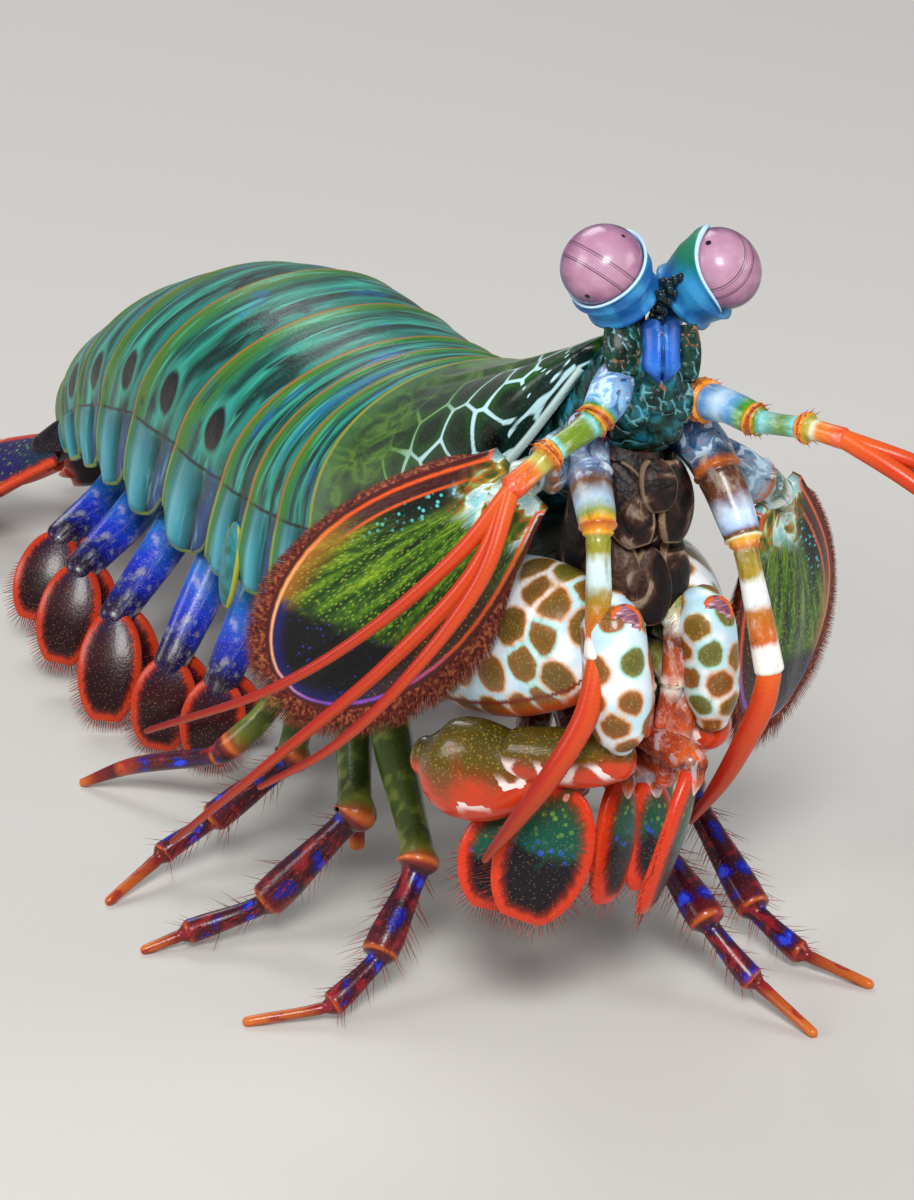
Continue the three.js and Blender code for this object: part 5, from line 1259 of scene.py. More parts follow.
# lower tells which side of the blade is its lower edge.
SCALES = {
    "right": {
        "root": (3.8, -5, 55.4), "tip": (-15.4, 10.2, 31.2), "length": 31, "half": 8.3,
        "facing": (-0.39, -0.84, 0.37), "stalk": (9.6, -3.2, 57), "lower": 1,
    },
    "left": {
        "root": (29.6, -5.8, 50.4), "tip": (36, 4.2, 23), "length": 29.5, "half": 7.3,
        "facing": (0.33, -0.93, 0.05), "stalk": (22.6, -4.6, 55), "lower": -1,
    },
}


def scale_width(u):
    swell = 0.42 + 0.58 * math.sin(math.pi / 2 * min(1, u / 0.55))
    return swell * math.sqrt(max(0.015, 1 - (max(0, u - 0.55) / 0.455) ** 2))


def scale_paint(side, lower, length, half):
    """Green blade with bright grains in rays, a dotted blue-black end and a pale orange rim."""
    p = Paint("antennal scale " + side)
    run, offset, rim = p.value("run"), p.value("offset"), p.value("rim")
    low_side = p.times(offset, float(lower))
    bearing = p.math("ARCTAN2", offset, p.plus(run, 5.0))
    rays = p.noise(p.join(p.times(bearing, 24.0), p.times(run, 0.1)), 1.0, 3.0, 0.2)
    grains = p.cells(p.join(p.times(bearing, 95.0), p.times(run, 1.7)), 1.0)
    fine = p.cells(p.place(), 2600.0)
    green = p.scale(rays, [(0.32, "061403"), (0.43, "1c3f06"), (0.54, "3f6a0c"), (0.7, "7f9c1c")])
    green = p.shade(green, "a4bc2a", grains, 0.4, 0.14, 0.5)
    green = p.shade(green, "0c2404", grains, 0.55, 0.85, 0.6)
    warm = p.times(p.ramp(rim, 3.4, 0.6, 0.0, 0.65), p.ramp(run, 9.0, 17.0))
    green = p.mix(warm, green, "b06a1c")
    gold = p.times(p.ramp(p.plus(low_side, p.times(rays, 2.4)), 0.46 * half, 0.8 * half), p.ramp(run, 5.0, 11.0))
    green = p.mix(gold, green, p.shade("3a1c0a", "a8762a", fine, 0.3, 0.1))
    blots = p.noise(p.join(p.times(offset, 0.5), p.times(run, 0.28), 3.0), 1.0, 2.0, 1.2)
    base = p.scale(blots, [(0.36, "3c4a0c"), (0.45, "6a7a1c"), (0.5, "a8b060"), (0.53, "e4f4ee"), (0.66, "96d4d8")])
    base = p.stripe(base, "c8521c", blots, 0.435, 0.03)
    reach = p.plus(run, p.times(low_side, 0.45))
    colour = p.shade(green, base, p.plus(reach, p.times(rays, 5.0)), 9.5, 6.5)
    band = p.times(p.ramp(low_side, 0.1 * half, -0.42 * half), p.ramp(run, 17.0, 9.0))
    band = p.times(band, p.ramp(run, 2.5, 6.0))
    beads = p.shade("06140c", "58c8cc", p.cells(p.place(), 1500.0), 0.34, 0.12)
    colour = p.mix(p.times(band, p.ramp(rim, 4.6, 3.2)), colour, beads)
    wander = p.times(p.minus(rays, 0.5), 3.6)
    front = p.plus(p.plus(run, p.times(low_side, 0.62)), wander)
    dark = p.times(p.ramp(front, 0.655 * length, 0.735 * length),
                   p.ramp(p.minus(low_side, wander), 0.8 * half, 0.6 * half))
    dots = p.cells(p.place(), 1500.0)
    night = p.shade("020206", "2a46c0", dots, 0.2, 0.08, 0.7)
    night = p.shade(night, "1c1c8c", rim, 2.4, 0.8, 0.35)
    colour = p.mix(dark, colour, night)
    upper = p.times(p.ramp(low_side, -0.2 * half, -0.5 * half), p.ramp(run, 19.0, 12.0))
    colour = p.mix(p.times(upper, p.ramp(rim, 2.1, 1.5)), colour, "3c0e08")
    colour = p.mix(p.times(upper, p.bell(rim, 1.9, 0.22)), colour, "d8541c")
    tip_tone = p.shade("f0a868", "8a4cc0", low_side, -0.4 * half, 0.5 * half)
    edge_tone = p.shade("e4541a", tip_tone, run, 0.45 * length, 0.8 * length)
    colour = p.stripe(colour, edge_tone, rim, 0.62, 0.28)
    colour = p.shade(colour, "4c120c", rim, 0.46, 0.3)
    height = p.plus(p.times(rays, 0.8), p.ramp(grains, 0.45, 0.1, 0.0, 0.35))
    return p.finish(colour, p.ramp(grains, 0.1, 0.5, 0.24, 0.42), p.bump(height, 0.1), 0.2, 0.2)


def fringe_paint(name, root_tone, tip_tone):
    """Bristles whose tone changes from place to place."""
    p = Paint(name)
    streak = p.noise(p.place(), 2600.0, 1.0)
    return p.finish(p.scale(streak, [(0.3, root_tone), (0.5, "6a1c10"), (0.7, tip_tone)]), 0.5)


FRINGE = fringe_paint("scale fringe", "2c0a06", "9a5a34")


def make_scale(side):
    """The blade of an antennal scale, its stalk and the fringe round its edge."""
    spec = SCALES[side]
    lower = spec["lower"]
    root = vec(spec["root"])
    way = unit(vec(spec["tip"]) - root)

    def flute(u, s):
        keel = 0.3 * np.exp(-((s - 0.3 * lower) / 0.12) ** 2) * (1 - u) * u
        return 0.16 * np.sin(s * 9 + 1.2) * np.sin(np.pi * u) + keel

    plate = Plate(root, root + way * spec["length"], spec["half"], 1.1, spec["facing"], scale_width, 1.2, wave=flute,
                  bead=0.45)
    form = Form().blade(plate, 64, 40)
    form.make("scale_blade_" + side, scale_paint(side, lower, spec["length"], spec["half"]),
              ("antennal_scale_" + side,), "antennal_scale")
    stalk = vec(spec["stalk"])
    elbow = stalk + (root - stalk) * 0.6 + [0, -1, 0]
    middle = stalk * 0.5 + elbow * 0.5
    near_root = elbow * 0.45 + root * 0.55
    rows = [(*stalk, 2.0), (*middle, 2.2), (*elbow, 2.0), (*near_root, 1.7),
            (*(root + way * 1.6), 1.5, 0.8), (*(root + way * 4.6), 0.8, 0.9)]
    form = Form().tube(rows, 32, 0.2, relief=ringed((0.42, 0.68), 0.3, 0.4, 0.2))
    form.make("scale_stalk_" + side, SCALE_STALK, (), "antennal_scale")

    def reach(at_side, u):
        """Long along the lower edge and the tip, short and dense along the upper one."""
        low = at_side * lower
        along_low = 3.0 * ease(u, 0.16, 0.42) * ease(low, -0.2, 0.3)
        along_top = (0.9 + 1.5 * ease(u, 0.45, 0.95)) * ease(u, 0.04, 0.12) * (1 - ease(low, -0.2, 0.3))
        return float(along_low + along_top)

    roots, ways, facings, lengths = plate.fringe(0.15, reach, 0.02, 0.75, 0.025, 0.1, 3, 11)
    grow("scale_fringe_" + side, roots, ways, facings, lengths, FRINGE, 0.2, 0.09)


SCALE_STALK = banded_paint("scale stalk", [
    (0.0, "1f4a5c"), (0.2, "3a6f96"), (0.38, "8fb8d0"), (0.43, "a8602a"), (0.5, "3a6a6a"), (0.6, "4a7a50"),
    (0.68, "d8e8e4"), (0.76, "6a7a24"), (0.85, "c8e8e0"), (1.0, "8a8a3a")], 0.03, 0.7, 1.1)


# Claws

CLAWS = {
    "right": {
        "arm": [
            (11.6, 17.5, 34.5, 4, 0.85), (7, 12.6, 34, 5, 0.76), (5, 7.4, 35.4, 6.4, 0.68), (5.4, 1, 38, 7.4, 0.6),
            (6.6, -4.6, 39.8, 7, 0.58), (7.8, -9.4, 41, 5.6, 0.62), (8.6, -12, 41.6, 3.6, 0.7)],
        "knuckle": [
            (8.4, -12.8, 45.6, 1.9, 1), (8.6, -13.4, 44.2, 2.9, 0.95), (8.7, -14.2, 41, 3.2, 0.9),
            (8.8, -14.6, 37, 3.3, 0.9), (9, -14.6, 34, 2.5, 0.9), (9.2, -14.4, 32.8, 1.4, 0.9)],
        "forearm": [
            (9.6, -13.4, 31, 2.2, 1), (7.9, -11.6, 30.4, 2.6, 1), (5.6, -8.8, 29.9, 2.7, 1), (3.6, -6, 29.4, 2.5, 1)],
        "club": [
            (4.8, -7.6, 28.2, 2, 0.8), (3, -5.2, 27.4, 3.9, 0.74), (0.8, -2.4, 26.9, 4.8, 0.7),
            (-1.2, 0.2, 26.9, 4.1, 0.7), (-2.4, 1.8, 27.2, 1.9, 0.75)],
    },
    "left": {
        "arm": [
            (21.4, 17.5, 34.5, 4, 0.85), (25.4, 12.6, 34, 5, 0.74), (26, 7.4, 35, 6.2, 0.66),
            (24.2, 2, 37.4, 6.8, 0.56), (22, -3.4, 39.4, 6, 0.54), (20.4, -7.4, 40.6, 4.4, 0.6),
            (19.8, -9.4, 41, 3, 0.7)],
        "knuckle": [
            (19.4, -9.8, 43.2, 1.8, 1), (19.5, -10.6, 41.8, 2.7, 0.95), (19.6, -11.6, 38.4, 2.9, 0.88),
            (19.7, -12, 34.8, 2.7, 0.88), (19.8, -12, 32.4, 1.7, 0.9)],
        "forearm": [
            (20, -11, 30.9, 2, 1), (21, -8.8, 30.4, 2.4, 1), (22.2, -5.4, 29.8, 2.6, 1), (23.4, -2.2, 29.2, 2.4, 1)],
        "club": [
            (22.8, -3.2, 27.8, 2, 0.8), (23.8, -0.6, 27, 3.9, 0.74), (25, 2.6, 26.5, 4.7, 0.7),
            (26.2, 5.6, 26.5, 4, 0.7), (26.8, 7.4, 26.8, 1.9, 0.75)],
    },
}


def spotted_paint(name, round_to, warm):
    """White shell packed with round olive-brown spots, green in some, and an orange edge below."""
    p = Paint(name)
    grained = p.group(GRAIN, Size=0.26, Mottle_size=6.0)
    kind, border, middle, low = p.value("kind"), p.value("border"), p.value("middle"), p.value("low")
    wobble = p.times(p.minus(p.noise(p.place(), 900.0, 2.0), 0.5), 0.5)
    inside = p.math("MINIMUM", p.minus(border, 0.3), p.minus(round_to, middle))
    inside = p.plus(inside, wobble)
    halo = p.ramp(inside, -0.36, 0.04)
    spot = p.ramp(inside, -0.1, 0.2)
    tone = p.scale(kind, [
        (0.0, "7a5420"), (0.3, "86561f"), (0.5, "6e6a1e"), (0.62, "3c7a2a"), (0.75, "2c8040"), (0.88, "8c5a20"),
        (1.0, "965022")],
                   "CONSTANT")
    tone = p.mix(warm, tone, "a8441a")
    tone = p.shade(tone, "4a4a16", inside, 0.15, 0.8, 0.5)
    tone = p.mix(p.times(p.ramp(p.noise(p.place(), 4600.0, 1.0), 0.56, 0.7), 0.3), tone, "d0a860")
    shell = p.shade("f2f2f4", "b8dcec", grained["Mottle"], 0.42, 0.62)
    colour = p.mix(halo, shell, p.shade("d8a87c", "a4dccc", kind, 0.55, 0.6))
    colour = p.mix(spot, colour, tone)
    colour = p.shade(colour, "d8501a", low, 0.84, 0.97)
    colour = p.stripe(colour, "7a2412", low, 0.84, 0.03)
    return p.finish(colour, p.ramp(grained["Mottle"], 0.3, 0.7, 0.26, 0.38), p.bump(grained["Height"], 0.025),
                    0.3, 0.14)


def club_paint():
    """Olive above and orange-red below, with white in the gaps between some of its cells."""
    p = Paint("club")
    grained = p.group(GRAIN, Size=0.25, Mottle_size=5.0)
    border, kind = p.value("border"), p.value("kind")
    low = p.stirred(p.value("low"), grained["Mottle"], 0.7)
    colour = p.scale(low, [(0.0, "3f3a0e"), (0.3, "5c4a12"), (0.46, "7a3c14"), (0.58, "c03a14"), (1.0, "dc3c16")])
    speck = p.noise(p.place(), 4400.0, 1.0)
    colour = p.mix(p.times(p.ramp(speck, 0.58, 0.7), p.ramp(low, 0.6, 0.4, 0.0, 0.4)), colour, "c8a04a")
    gap = p.times(p.ramp(p.plus(border, p.times(speck, 0.3)), 0.85, 0.45), p.bell(p.value("low"), 0.62, 0.26))
    gap = p.times(gap, p.ramp(kind, 0.5, 0.56))
    colour = p.mix(p.math("MULTIPLY", gap, 1.6, True), colour, "f4e0da")
    return p.finish(colour, 0.26, p.bump(grained["Height"], 0.02), 0.35, 0.12)


CLUB = club_paint()
ARM_PAINT = spotted_paint("claw arm", 1.9, 0.0)
KNUCKLE_PAINT = spotted_paint("claw knuckle", 1.35, 0.35)


# Each part's sides, paint, slot, pitch of its cells and seed.
CLAW_PARTS = {
    "arm": (90, ARM_PAINT, "claw_arm", 3.2, 5),
    "knuckle": (60, KNUCKLE_PAINT, "claw_arm", 2.5, 2),
    "forearm": (48, CLUB, "club", 3.0, 4),
    "club": (72, CLUB, "club", 3.6, 8),
}


def make_claw(side):
    """The folded striking claw. low runs from 0 at the top of each part to 1 at its bottom."""
    claw = CLAWS[side]
    for part, (sides, paint, slot, pitch, seed) in CLAW_PARTS.items():
        form = Form().tube(claw[part], sides, 0.25, ends=(0.7, 0.7))
        points = np.vstack(form.points)
        line, _ = curve([list(r) for r in claw[part]], 60)
        nearest = np.argmin(((points[:, None, :] - line[None, :, :3]) ** 2).sum(-1), axis=1)
        form.values["low"] = [0.5 - 0.5 * (points[:, 2] - line[nearest, 2]) / line[nearest, 3]]
        form.cells(pitch, seed).make(f"claw_{part}_shell_{side}", paint, (f"claw_{part}_{side}",), slot)
        if part == "knuckle":
            make_membrane(side, line)


def make_membrane(side, line):
    """The wrinkled purple skin at the top of the knuckle, in an orange rim."""
    top = line[5, :3] + [0.3, -line[5, 3] * 0.86, 0.3]

    def folds(u, s):
        return 0.07 * np.sin(u * 30 + 2 * s)

    skin = Plate(top + [0, 0.5, 1.5], top + [0, -0.4, -1.5], 1.5, 0.8, (-0.2, -0.9, 0.38), oval, 0.3, wave=folds,
                 thin=0.3)
    Form().blade(skin, 24, 20).make("knuckle_membrane_" + side, MEMBRANE, (), "claw_arm")


def membrane_paint():
    """Purple wrinkles in an orange rim."""
    p = Paint("knuckle membrane")
    fold = p.noise(p.join(p.times(p.value("offset"), 0.7), p.times(p.value("run"), 3.0)), 1.0, 2.0, 0.8)
    colour = p.scale(fold, [(0.32, "3a1a2a"), (0.5, "8a5468"), (0.66, "d0a8b4")])
    colour = p.shade(colour, "d8601c", p.value("rim"), 0.42, 0.22)
    return p.finish(colour, 0.4, p.bump(fold, 0.08))


MEMBRANE = membrane_paint()


# Small mouth limbs

# Each limb's arm as [x, y, z, radius], then its paddle's root, tip, facing and half width.
PADDLE_LIMBS = {
    "maxilliped_3_right": (
        [(13, 5, 32, 1.8), (10.6, -3, 28.4, 1.6), (6.9, -9, 26.8, 1.7)],
        (6.4, -9.9, 27.2), (1.6, -10.1, 15), (-0.4, -0.85, 0.3), 4.4,
    ),
    "maxilliped_4_right": (
        [(12.6, 8, 31, 1.8), (8.8, 3, 25, 1.6), (4.9, -1.8, 22.6, 1.5)],
        (4.2, -2.4, 22.8), (1.4, -4.2, 13.4), (-0.5, -0.8, 0.3), 3.8,
    ),
    "maxilliped_5_right": (
        [(14.2, 4, 31, 1.8), (13.8, -3, 28.4, 1.6), (12.9, -7.6, 26.2, 1.6)],
        (12.7, -8.2, 26.4), (10.4, -9.6, 14.6), (0.45, -0.85, 0.2), 3,
    ),
    "maxilliped_3_left": (
        [(15.8, 4, 31.6, 1.7), (15.4, -7, 30, 1.5), (16.6, -14, 29, 1.5)],
        (16.6, -14.4, 29.2), (11.4, -15.2, 16), (0.72, -0.62, 0.3), 2.8,
    ),
    "maxilliped_4_left": (
        [(17, 6, 31, 1.8), (17.8, -1, 26, 1.6), (17, -5.4, 24, 1.5)],
        (17, -5.8, 24.2), (15, -8.4, 14.4), (0.3, -0.9, 0.2), 3.2,
    ),
    "maxilliped_5_left": (
        [(18, 8, 31, 1.8), (20.4, 4, 25, 1.6), (21, 0.4, 22.6, 1.5)],
        (20.9, 0, 22.8), (19.2, -2.6, 13.2), (0.6, -0.75, 0.2), 3.4,
    ),
}


def paddle_paint(name, root_tone, middle, deep, edge, edge_width=1.1, blue=0.5):
    """A paddle with a dark middle, specks and a glowing rim with fine rays."""
    p = Paint(name)
    grained = p.group(GRAIN, Size=0.3, Mottle_size=2.0)
    place = p.place()
    along = p.stirred(p.value("along"), grained["Mottle"], 0.35)
    colour = p.scale(along, [(0.05, root_tone), (0.3, middle), (0.44, middle), (0.56, deep), (1.0, deep)])
    bits = p.cells(place, 1100.0)
    colour = p.mix(p.times(p.ramp(bits, 0.34, 0.16, 0.0, blue), p.bell(along, 0.26, 0.2)), colour, "8ab83a")
    colour = p.mix(p.times(p.ramp(bits, 0.4, 0.2, 0.0, blue), p.bell(along, 0.48, 0.1)), colour, "2f5ae0")
    bearing = p.math("ARCTAN2", p.value("offset"), p.minus(p.value("run"), 5.0))
    flame = p.noise(p.join(p.times(bearing, 9.0), 0.0, p.times(p.value("run"), 0.1)), 1.0, 2.0)
    rim = p.minus(p.value("rim"), p.times(flame, 0.9))
    colour = p.shade(colour, p.mix(0.6, edge, "5a0808"), rim, edge_width * 1.5, edge_width * 0.2, 0.8)
    colour = p.shade(colour, edge, rim, edge_width * 0.75, edge_width * 0.1)
    colour = p.mix(p.times(grained["Fleck"], 0.2), colour, "f0b080")
    return p.finish(colour, 0.32, p.bump(grained["Height"], 0.03), 0.15, 0.15)


PADDLE = paddle_paint("mouth paddle", "3c3c0e", "0e4a38", "08020c", "cc3412", 0.9)
PADDLE_ARM = banded_paint("mouth limb", [
    (0.0, "3a140e"), (0.3, "6a2414"), (0.55, "a83c18"), (0.64, "e0601c"), (0.7, "5a1a14"), (0.8, "c8501c"),
    (0.92, "e8d8cc"), (1.0, "d8905a")], 0.04, 0.35, 1.1)
SETA = fringe_paint("red bristles", "5a0a0c", "d83a26")


def make_paddle_limb(name):
    """A thin jointed arm that ends in a paddle with a fringe of red bristles."""
    arm, root, tip, facing, half = PADDLE_LIMBS[name]
    plate = Plate(root, tip, half, 1.5, facing, oval, 0.5, thin=0.3)
    end = vec(root) + (vec(tip) - vec(root)) * 0.22
    Form().tube([*arm, (*end, 0.9)], 28, 0.25, relief=ringed((0.66,), 0.22, 0.35, 0.12)).blade(plate, 56, 32, 1).make(
        name + "_shell", [PADDLE_ARM, PADDLE], (name,), "paddle_limb")
    roots, ways, facings, lengths = plate.fringe(0.34, lambda s, u: 1.9 * float(ease(u, 0.2, 0.6)), 0.2, 0.5, 0.25,
                                                 0.3, 1, 5)
    grow(name + "_bristles", roots, ways, facings, lengths, SETA, 0.1, 0.07)


def mouth_paint():
    """Brown-pink folds with pale seams, dark partly in their own colour and partly as painted shade, as if deep in
    shadow under the head.
    """
    p = Paint("mouthparts")
    grained = p.group(GRAIN, Size=0.4, Mottle_size=2.4)
    swirl = p.noise(p.place(), 260.0, 3.0, 1.6)
    # These colours sit well below the parts' own tone: partly painted shade, standing for the shadow the mouth lies
    # in.
    colour = p.scale(swirl, [
        (0.34, "030102"), (0.48, "140807"), (0.57, "2c150f"), (0.63, "4c3226"), (0.69, "8f7c6a")])
    colour = p.shade(colour, "a08468", p.value("rim"), 0.24, 0.08, 0.6)
    return p.finish(colour, 0.5, p.bump(p.plus(grained["Height"], p.times(swirl, 3.0)), 0.12),
                    0.05, 0.3)


MOUTH = mouth_paint()
JAWS = [
    ((11.9, -7.2, 56.5), (13.2, -9.8, 49.2), 2.3, (-0.5, -0.85, 0.1)),
    ((17.6, -7.6, 56), (16.6, -9.8, 49), 2.3, (0.4, -0.9, 0.1)),
    ((14.8, -9.0, 57), (14.9, -10.4, 52.4), 1.8, (0, -0.98, 0.2)),
    ((12, -7.2, 49.5), (12.6, -9, 42.4), 2.2, (-0.6, -0.8, 0.1)),
    ((17.6, -7.6, 49), (17, -8.8, 41.6), 2.2, (0.5, -0.86, 0.1)),
    ((14.6, -8.8, 48.6), (14.8, -9.6, 41.4), 1.9, (0, -0.98, 0.1)),
]
INNER_LIMBS = [
    [(12.4, -6.6, 46, 1.1), (12.6, -9.6, 41.6, 1.2), (13.4, -10.6, 36, 1.1), (14.2, -9.6, 31, 0.7)],
    [(17.4, -6.8, 46, 1.1), (17.2, -9.4, 41.4, 1.2), (16.6, -10.4, 36, 1.1), (16, -9.4, 31.4, 0.7)],
    [(16.6, -2, 37, 1.4), (17.8, -8.6, 35.4, 1.5), (17.2, -10.6, 30.4, 1.3), (16.4, -9.4, 25.6, 0.8)],
]
INNER_LIMB = banded_paint("inner mouth limb", [
    (0.0, "4a2014"), (0.25, "8a8a34"), (0.34, "e4e8d8"), (0.42, "7a3a1c"), (0.6, "c8501c"), (0.7, "e8e0d0"),
    (0.78, "a83c18"), (1.0, "e2501c")], 0.04, 0.3, 1.1)


def make_mouth():
    """The mouth core with its jaws, and three small limbs in front of it."""
    form = Form().tube([
        (15.2, -2.4, 56, 4.4, 1), (15, -3.4, 52, 5, 1), (14.8, -2.6, 47, 5.4, 0.95), (15, 0, 41, 5.4, 0.95),
        (15.2, 3.4, 35, 5.2, 0.95), (15.3, 5.6, 30.4, 4, 0.95), (15.3, 6, 27.8, 2, 0.95)], 48, 0.3, rim=3.0)
    for root, tip, half, facing in JAWS:
        form.blade(Plate(root, tip, half, 1.3, facing, oval, 0.7, thin=0.3), 26, 20)
    form.make("mouth_core", MOUTH, ("mouthparts",), "mouthparts")
    for number, rows in enumerate(INNER_LIMBS):
        Form().tube(rows, 24, 0.25, relief=ringed((0.34, 0.67), 0.2, 0.3, 0.12)).make(
            f"inner_limb_{number}", INNER_LIMB, (), "mouthparts")


# Walking legs

# Each leg's joints as [x, y, z, radius], then its side branch.
LEGS = {
    "walking_leg_1_right": (
        [(9.6, 38, 29.6, 2.4), (4.6, 25.6, 19.6, 2.1), (0.8, 10.8, 13.2, 1.6), (0.3, 9.5, 12.2, 1.9),
         (-0.2, 9.1, 11.4, 1.3), (-5, 6.3, 5.6, 1.7), (-5.7, 5.8, 4.9, 1.05), (-10.4, 5, 1.9, 1.15),
         (-11, 5, 1.6, 0.75), (-18.2, 7.4, 0.45, 0.5)],
        [(6.4, 29, 22, 1.3), (4.8, 22, 13, 1), (3.6, 18.6, 5.4, 0.8)],
    ),
    "walking_leg_2_right": (
        [(9.4, 43.4, 29, 2.4), (4, 33, 19.6, 2.1), (-1.4, 20.6, 14.6, 1.7), (-1.9, 19.5, 13.5, 2),
         (-2.6, 19.8, 12.7, 1.4), (-9.8, 22.3, 4.9, 1.8), (-10.7, 22.6, 4.1, 1.1), (-17.2, 24.7, 1.7, 1.15),
         (-18, 24.9, 1.4, 0.75), (-21.8, 25.2, 0.45, 0.5)],
        [(5.4, 35.6, 22, 1.3), (3.4, 31, 12.6, 1), (2.2, 28.6, 5.4, 0.8)],
    ),
    "walking_leg_3_right": (
        [(9.2, 49.6, 28.8, 2.4), (3.8, 43.4, 19.4, 2), (-1, 37, 13.6, 1.5), (-1.6, 36.2, 12.7, 1.8),
         (-2.4, 36.4, 12, 1.3), (-9, 38.5, 6.6, 1.5), (-9.8, 38.8, 5.9, 1), (-14.3, 39.5, 3.2, 1.1),
         (-15, 39.3, 2.8, 0.8), (-21.4, 36.6, 0.5, 0.5)],
        [(6, 46.6, 22, 1.6), (0.4, 48, 12.6, 1.3), (-3.4, 50, 8.2, 1.4), (-4.2, 50.8, 7.4, 1.1),
         (-10.5, 60.1, 3.4, 0.9), (-14.4, 64.4, 0.45, 0.5)],
    ),
    "walking_leg_1_left": (
        [(24, 37.4, 29.6, 2.4), (25.6, 22, 19.4, 2.1), (24, 6.8, 12.4, 1.6), (23.8, 5.6, 11.7, 1.9),
         (23.8, 4.6, 11.2, 1.3), (24.1, -4.4, 7.6, 1.7), (24.2, -5.2, 7, 1.05), (26.3, -9.3, 3.2, 1.15),
         (26.7, -9.8, 2.8, 0.8), (28.8, -16.8, 0.45, 0.5)],
        [(25.6, 25, 21, 1.3), (27.2, 17, 12, 1), (27.8, 13.4, 5, 0.8)],
    ),
    "walking_leg_2_left": (
        [(24.6, 43, 29, 2.4), (29, 31, 19.6, 2.1), (31.6, 15, 12.6, 1.6), (31.7, 13.6, 11.9, 1.9),
         (31.8, 12.4, 11.2, 1.3), (32.5, 1.4, 4.6, 1.6), (32.6, 0.5, 4.1, 1.05), (34.4, -4.4, 1.9, 1.1),
         (34.8, -5, 1.7, 0.75), (38.5, -10.8, 0.45, 0.5)],
        [(28.8, 34, 21, 1.3), (33.6, 27.6, 12, 1), (35, 24.6, 5, 0.8)],
    ),
    "walking_leg_3_left": (
        [(24.8, 49.6, 28.6, 2.4), (29, 52, 19.6, 2), (31.4, 56.4, 12.6, 1.5), (31.8, 57.2, 11.8, 1.8),
         (32.1, 58, 11, 1.3), (34, 63.4, 5.4, 1.5), (34.2, 64.2, 4.9, 1.05), (35.4, 68, 2.2, 1.1),
         (35.5, 68.6, 2, 0.8), (36.6, 74.4, 0.45, 0.5)],
        [(27, 49.4, 22.4, 1.6), (31, 44, 13, 1.2), (32.4, 41.6, 8.4, 1.2), (34.6, 36.6, 3.2, 0.9),
         (35.4, 33.2, 0.45, 0.5)],
    ),
}


def leg_paint():
    """Olive upper lengths, red joint collars, then maroon with bright blue patches and a dark orange tip."""
    p = Paint("walking leg")
    grained = p.group(GRAIN, Size=0.3, Mottle_size=1.8)
    mark, turn, run = p.value("mark"), p.value("turn"), p.value("run")
    colour = p.scale(mark, [
        (0.0, "2a3610"), (0.14, "44561a"), (0.2, "2c3a10"), (0.27, "5c621a"), (0.31, "8a4a20"), (0.335, "d06a2a"),
        (0.36, "7a2014"), (0.4, "3a0a18"), (0.5, "30081a"), (0.55, "5a1018"), (0.59, "c05a1c"), (0.62, "4a0c14"),
        (0.68, "2c0820"), (0.76, "4c0c18"), (0.82, "b8461a"), (0.85, "4a0e12"), (0.93, "7a1c14"), (1.0, "c8641e")])
    lanes = p.noise(p.join(p.times(turn, 3.0), p.times(run, 0.3), mark), 1.5, 1.5)
    zone = p.math("MAXIMUM", p.bell(mark, 0.5, 0.11), p.bell(mark, 0.72, 0.1))
    colour = p.mix(p.times(p.ramp(lanes, 0.54, 0.62), zone), colour, "101080")
    colour = p.mix(p.times(p.ramp(lanes, 0.64, 0.7), zone), colour, "2340d8")
    colour = p.mix(p.times(p.ramp(lanes, 0.44, 0.34, 0.0, 0.8), p.ramp(mark, 0.38, 0.44)), colour, "8a1420")
    colour = p.mix(p.times(p.ramp(lanes, 0.5, 0.62, 0.0, 0.5), p.ramp(mark, 0.32, 0.26)), colour, "86923a")
    colour = p.mix(p.times(grained["Fleck"], 0.15), colour, "d89080")
    return p.finish(colour, 0.34, p.bump(grained["Height"], 0.05), 0.3, 0.16)


LEG = leg_paint()


LEG_KNOBS = (3 / 9, 5.3 / 9, 7.4 / 9)
HAIRY = ((0.42, 0.58), (0.66, 0.84))


def make_leg(name):
    """A jointed leg, its side branch, and bristles on both sides of its two outer lengths."""
    joints, branch = LEGS[name]
    knobs = ringed(LEG_KNOBS, 0.18, 0.5, 0.1)
    Form().tube(joints, 26, 0.25, ends=(0.6, 1.2), relief=knobs).tube(branch, 18, 0.3, ends=(0.6, 0.8)).make(
        name + "_shell", LEG, (name,), "leg")
    draw = np.random.default_rng(sum(map(ord, name)))
    roots, ways, facings, lengths = [], [], [], []
    line, _ = curve([list(r) + [i / (len(joints) - 1)] for i, r in enumerate(joints)], 220)
    heading, across, over = frames(line[:, :3], (1, 0, 0))
    for i in range(len(line)):
        mark = line[i, 4]
        if not any(start < mark < end for start, end in HAIRY):
            continue
        outward = unit(np.cross(heading[i], [0, 0, 1]))
        for sign in (-1, 1):
            if draw.random() > 0.8:
                continue
            turn = draw.normal(0, 0.5)
            side = unit(outward * sign * math.cos(turn) + np.cross(heading[i], outward) * math.sin(turn))
            way = unit(side * 0.8 + heading[i] * (0.55 + 0.3 * draw.random()))
            reach = (3.6 if mark < 0.6 else 2.8) * (0.55 + 0.5 * draw.random())
            roots.append(line[i, :3] + side * line[i, 3] * 0.85)
            ways.append(way)
            facings.append(side)
            lengths.append(above_floor(line[i], way, reach, 0.3, 0.3))
    grow(name + "_bristles", roots, ways, facings, lengths, SETA, 0.13, 0.09)


# Swimmerets

